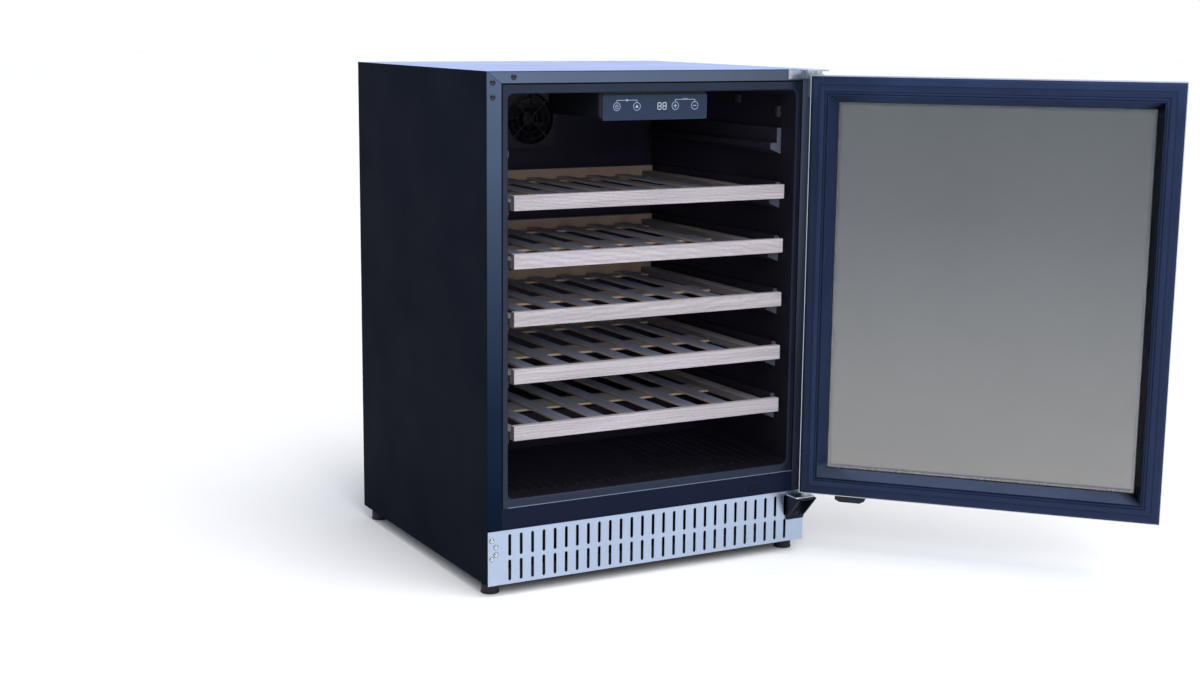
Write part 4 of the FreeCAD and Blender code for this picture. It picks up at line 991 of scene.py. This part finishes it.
def add_fixings():
    # bright on the bare side, black where they hold the hinge bracket
    for prefix, side, seat, look in (("kick", -1, -268.7, BRIGHT), ("hinge", 1, -271.2, BLACK_STEEL)):
        heads, crosses, rings = bmesh.new(), bmesh.new(), bmesh.new()
        for i, (across, up) in enumerate(LOWER_HOLES):
            across *= side
            lathe(heads, (across, seat, up), [
                (1.9, 10), (1.95, -0.3), (3.6, -0.32), (3.6, -0.9), (3.2, -1.6), (2.4, -2.1),
                (1.2, -2.35), (0.3, -2.4),
            ], place=XZ)
            # painted shadow: a dark ring round each head where it sits on the plate
            lathe(rings, (across, seat, up), [(1, 0), (4.3, 0), (4.2, -0.3), (1, -0.3)], place=XZ)
            cross_recess(crosses, across, up, 2, 0.42, 17 + 31 * i, seat - 1.75, seat - 2.2)
        finish_piece(prefix + "_screw_heads", heads, look,
                     "kickplate_screws" if side < 0 else None, weld=False)
        for name, bm in (("_screw_shadow_rings", rings), ("_screw_recesses", crosses)):
            finish_piece(prefix + name, bm, RECESS, weld=False)

    bm = bmesh.new()
    for across, up in UPPER_HOLES:
        lathe(bm, (-across, 0, up), [
            (1.9, -261.7), (1.95, -267.45), (4.5, -267.52), (4.5, -267.9),
            (4.1, -268.6), (2.9, -269.2), (1.5, -269.5), (0.3, -269.55),
        ], place=XZ)
    finish_piece("hinge_hole_caps", bm, CAP, "hinge_hole_plugs", weld=False)

    heads, crosses = bmesh.new(), bmesh.new()
    for i, (across, up) in enumerate(BACK_SCREWS):
        lathe(heads, (across, 0, up), [
            (3.6, 267.52), (3.6, 268.2), (3.2, 268.9), (2.2, 269.3), (0.3, 269.45),
        ], place=XZ, steps=28)
        cross_recess(crosses, across, up, 1.8, 0.4, 23 + 41 * i, 268.9, 269.42)
    finish_piece("back_panel_screws", heads, BRIGHT, weld=False)
    finish_piece("back_screw_recesses", crosses, RECESS, weld=False)


# ---- fans and refrigeration
BLADES = 7
RADIAL, CHORD = 8, 7  # grid steps of one blade side


def blade_side(bm, centre, reach, middle, rise, base, thick):
    """One side of a curved, twisted blade: its points in a grid, and the faces between them."""
    grid = []
    for i in range(RADIAL + 1):
        t = i / RADIAL
        radius = 13.0 + (reach - 15.4) * t
        row = []
        for k in range(CHORD + 1):
            u = k / CHORD - 0.5
            angle = base + radians(10) * t * t + u * radians(42 - 6 * t)
            level = middle + 2 * u * rise * (1 - 0.22 * t) + 1.1 * cos(pi * u) - 0.55
            level += thick * (1 - 0.7 * abs(2 * u) ** 3)
            across, up = centre[0] + radius * cos(angle), centre[2] + radius * sin(angle)
            row.append(bm.verts.new(XZ(across, up, level) * MM))
        grid.append(row)
    for i in range(RADIAL):
        for k in range(CHORD):
            bm.faces.new((grid[i][k], grid[i + 1][k], grid[i + 1][k + 1], grid[i][k + 1]))
    return grid


def add_impeller(prefix, centre, reach, depth, rise):
    """A hub with blades; centre is on the front face."""
    x, y, z = centre
    bm = bmesh.new()
    front, back = y + 3.2, y + depth - 3.2
    lathe(bm, (x, 0, z), [
        (0.3, front), (9.5, front + 0.1), (12.2, front + 0.7), (13.4, front + 2), (13.7, front + 3.4),
        (13.7, back - 0.6), (13.1, back), (0.3, back),
    ], place=XZ, steps=48)
    for blade in range(BLADES):
        base = 2 * pi * blade / BLADES
        a, b = (blade_side(bm, centre, reach, y + depth / 2, rise, base, t) for t in (-0.6, 0.6))
        for first, second in ((a[0], b[0]), (a[-1], b[-1]),
                              ([row[0] for row in a], [row[0] for row in b]),
                              ([row[-1] for row in a], [row[-1] for row in b])):
            for corners in zip(first, first[1:], second[1:], second):
                bm.faces.new(corners)
    finish_piece(prefix + "_blades", bm, PLASTIC, prefix + "_impeller",
                 prefix + "_fan", weld=False)


def add_compressor():
    x, y = -150, 165
    bm = bmesh.new()
    lathe(bm, (x, y, 0), eased_profile([
        (0.3, 37.2), (50, 37.2), (68, 48), (74, 64), (74, 88), (76.5, 90), (76.5, 93), (74, 95),
        (74, 118), (66, 138), (48, 152), (0.3, 158),
    ], [0, 10, 10, 12, 1, 1, 1, 1, 14, 12, 14, 0], 4), steps=64)
    soft_box(bm, (x - 100, x + 100), (105, 225), (31.5, 36.5), 2, 3)
    for a, b in ((-85, -45), (85, -45), (-85, 45), (85, 45)):
        lathe(bm, (x + a, y + b, 0), [
            (8, 21.6), (11, 22.2), (11, 24.6), (8.6, 25.6), (8.6, 28.2), (11, 29.2), (11, 31.2),
            (8, 31.5),
        ], steps=28)
    soft_box(bm, (x - 25, x + 25), (224, 257), (70, 120), 3, 3)
    pipe = [(y + 4 * c, 120 + 4 * s) for c, s in circle(12, 45)]
    skin(bm, [ring_of(bm, pipe, x, YZ) for x in (-85, -60, -44, -30.2)], capped=True)
    finish_piece("compressor_shell", bm, COMPRESSOR, "compressor",
                 weld=False)


# each node's slot and edge radius
EASED_NODES = {
    "control_housing": ("black_plastic", 0.6), "upper_hinge_bracket": ("bright_steel", 0.25),
    "lower_hinge_bracket": ("black_bracket", 0.3), "lower_hinge_plate": ("bright_steel", 0.4),
    "lower_crossbar": ("front_frame_black", 0.25), "back_panel": ("zinc_sheet", 0.2),
    "base_tray": ("zinc_sheet", 0.25), "lamp_lens": ("lamp_white", 0.5),
    "temperature_probes": ("probe_grey", 0.7), "cord_gland": ("black_plastic", 0.4),
    "door_sensor": ("black_plastic", 0.25), "upper_hinge_pin": ("bright_steel", 0.3),
}


def side_fold(middle, length):
    return length > 500 and abs(middle.x) > 297.4 and middle.y < FACE_Y + 0.1


def top_fold(middle, length):
    return length > 400 and middle.y < FACE_Y + 0.1 and middle.z > 819.9


def add_eased_nodes():
    for name, (slot, radius) in EASED_NODES.items():
        eased_node(name, radius)
    for name in ("side_panel_left", "side_panel_right"):
        eased_node(name, 1.1, 3, side_fold)
    eased_node("top_panel", 1.1, 3, top_fold)


# ---- floor, light, camera
def add_floor():
    s = Shade("studio_floor", 0.9, specular=0.05)
    s.colour(s.cloud(s.noise(2, 3), (0.93, 0.935, 0.94), (0.955, 0.96, 0.965)))
    bm = bmesh.new()
    bmesh.ops.create_circle(bm, cap_ends=True, radius=40, segments=96)
    mesh = mesh_of("studio_floor", bm)
    mesh.materials.append(s.material)
    add_object("studio_floor", mesh)


def add_world():
    """White for the camera; for all other rays soft grey, with a pale blue glow low at the back."""
    world = bpy.data.worlds.new("studio")
    bpy.context.scene.world = world
    world.use_nodes = True
    world.node_tree.nodes.clear()
    w = Wiring(world.node_tree)
    parts = w.parts(w.add("ShaderNodeTexCoord").outputs["Generated"])
    behind = w.span(parts["Y"], 0.1, 0.8, ease="SMOOTHSTEP")
    low = w.span(parts["Z"], 0.1, 0.42, 1, 0, ease="SMOOTHSTEP")
    tone = w.mix(w.maths("MULTIPLY", behind, low), (0.52, 0.53, 0.56), (0.85, 1.03, 1.62))
    cast = w.add("ShaderNodeBackground", {"Color": tone}).outputs[0]
    seen = w.add("ShaderNodeBackground", {"Color": (1, 1, 1)}).outputs[0]
    from_camera = w.add("ShaderNodeLightPath").outputs["Is Camera Ray"]
    both = w.add("ShaderNodeMixShader", {0: from_camera, 1: cast, 2: seen}).outputs[0]
    w.add("ShaderNodeOutputWorld", {"Surface": both})


def add_lamp(name, kind, power, colour, axis, direction, place=(0, 0, 0)):
    """A lamp with one of its axes turned along a direction."""
    lamp = bpy.data.lights.new(name, kind)
    lamp.energy, lamp.color = power, colour
    item = add_object(name, lamp)
    item.location = place
    item.rotation_mode = "QUATERNION"
    item.rotation_quaternion = Vector(direction).to_track_quat(axis, "Y")
    return item


def add_lights():
    """A very soft sun, the same all over the floor, and one large lamp in front."""
    sun = add_lamp("soft_sun", "SUN", 2, (1, 0.99, 0.98), "Z", (0.25, -0.55, 1))
    sun.data.angle = radians(50)
    place, aim = Vector((-1.2, -3.8, 2.2)), Vector((0.1, 0, 0.45))
    key = add_lamp("key_front", "AREA", 95, (0.95, 0.97, 1), "-Z", aim - place, place)
    key.data.shape = "RECTANGLE"
    key.data.size, key.data.size_y = 2.8, 1.8
    key.visible_camera = key.visible_glossy = False


def add_camera():
    """The camera solved from the photograph."""
    azimuth, dip, roll = (radians(a) for a in (28.49, 10.16, 0.53))
    right = Vector((cos(azimuth), -sin(azimuth), 0))
    level = Vector((sin(azimuth), cos(azimuth), 0))
    ahead = level * cos(dip) - Vector((0, 0, sin(dip)))
    above = right.cross(ahead)
    x = right * cos(roll) + above * sin(roll)
    y = above * cos(roll) - right * sin(roll)
    data = bpy.data.cameras.new("camera")
    data.lens, data.sensor_width = 53.705, 36
    data.clip_start, data.clip_end = 0.05, 200
    item = add_object("camera", data)
    turn = Matrix((x, y, -ahead)).transposed().to_4x4()
    item.matrix_world = Matrix.Translation((-1.43086, -2.71681, 0.90146)) @ turn
    bpy.context.scene.camera = item


add_door_frame()
add_glazing()
add_handle()
add_door_stop()
add_liner()
add_floor_ribs()
for number in SHELVES:
    add_shelf(number)
add_rails()
add_sheets()
add_markings()
add_housing_ribs()
add_fixings()
add_impeller("circulation", (0, 190.5, 720), 46, 18, 4.6)
add_impeller("condenser", (110, 84, 104), 55, 25, 6.8)
add_compressor()
add_eased_nodes()
add_floor()
add_world()
add_lights()
add_camera()
bpy.context.scene.view_settings.view_transform = "Standard"
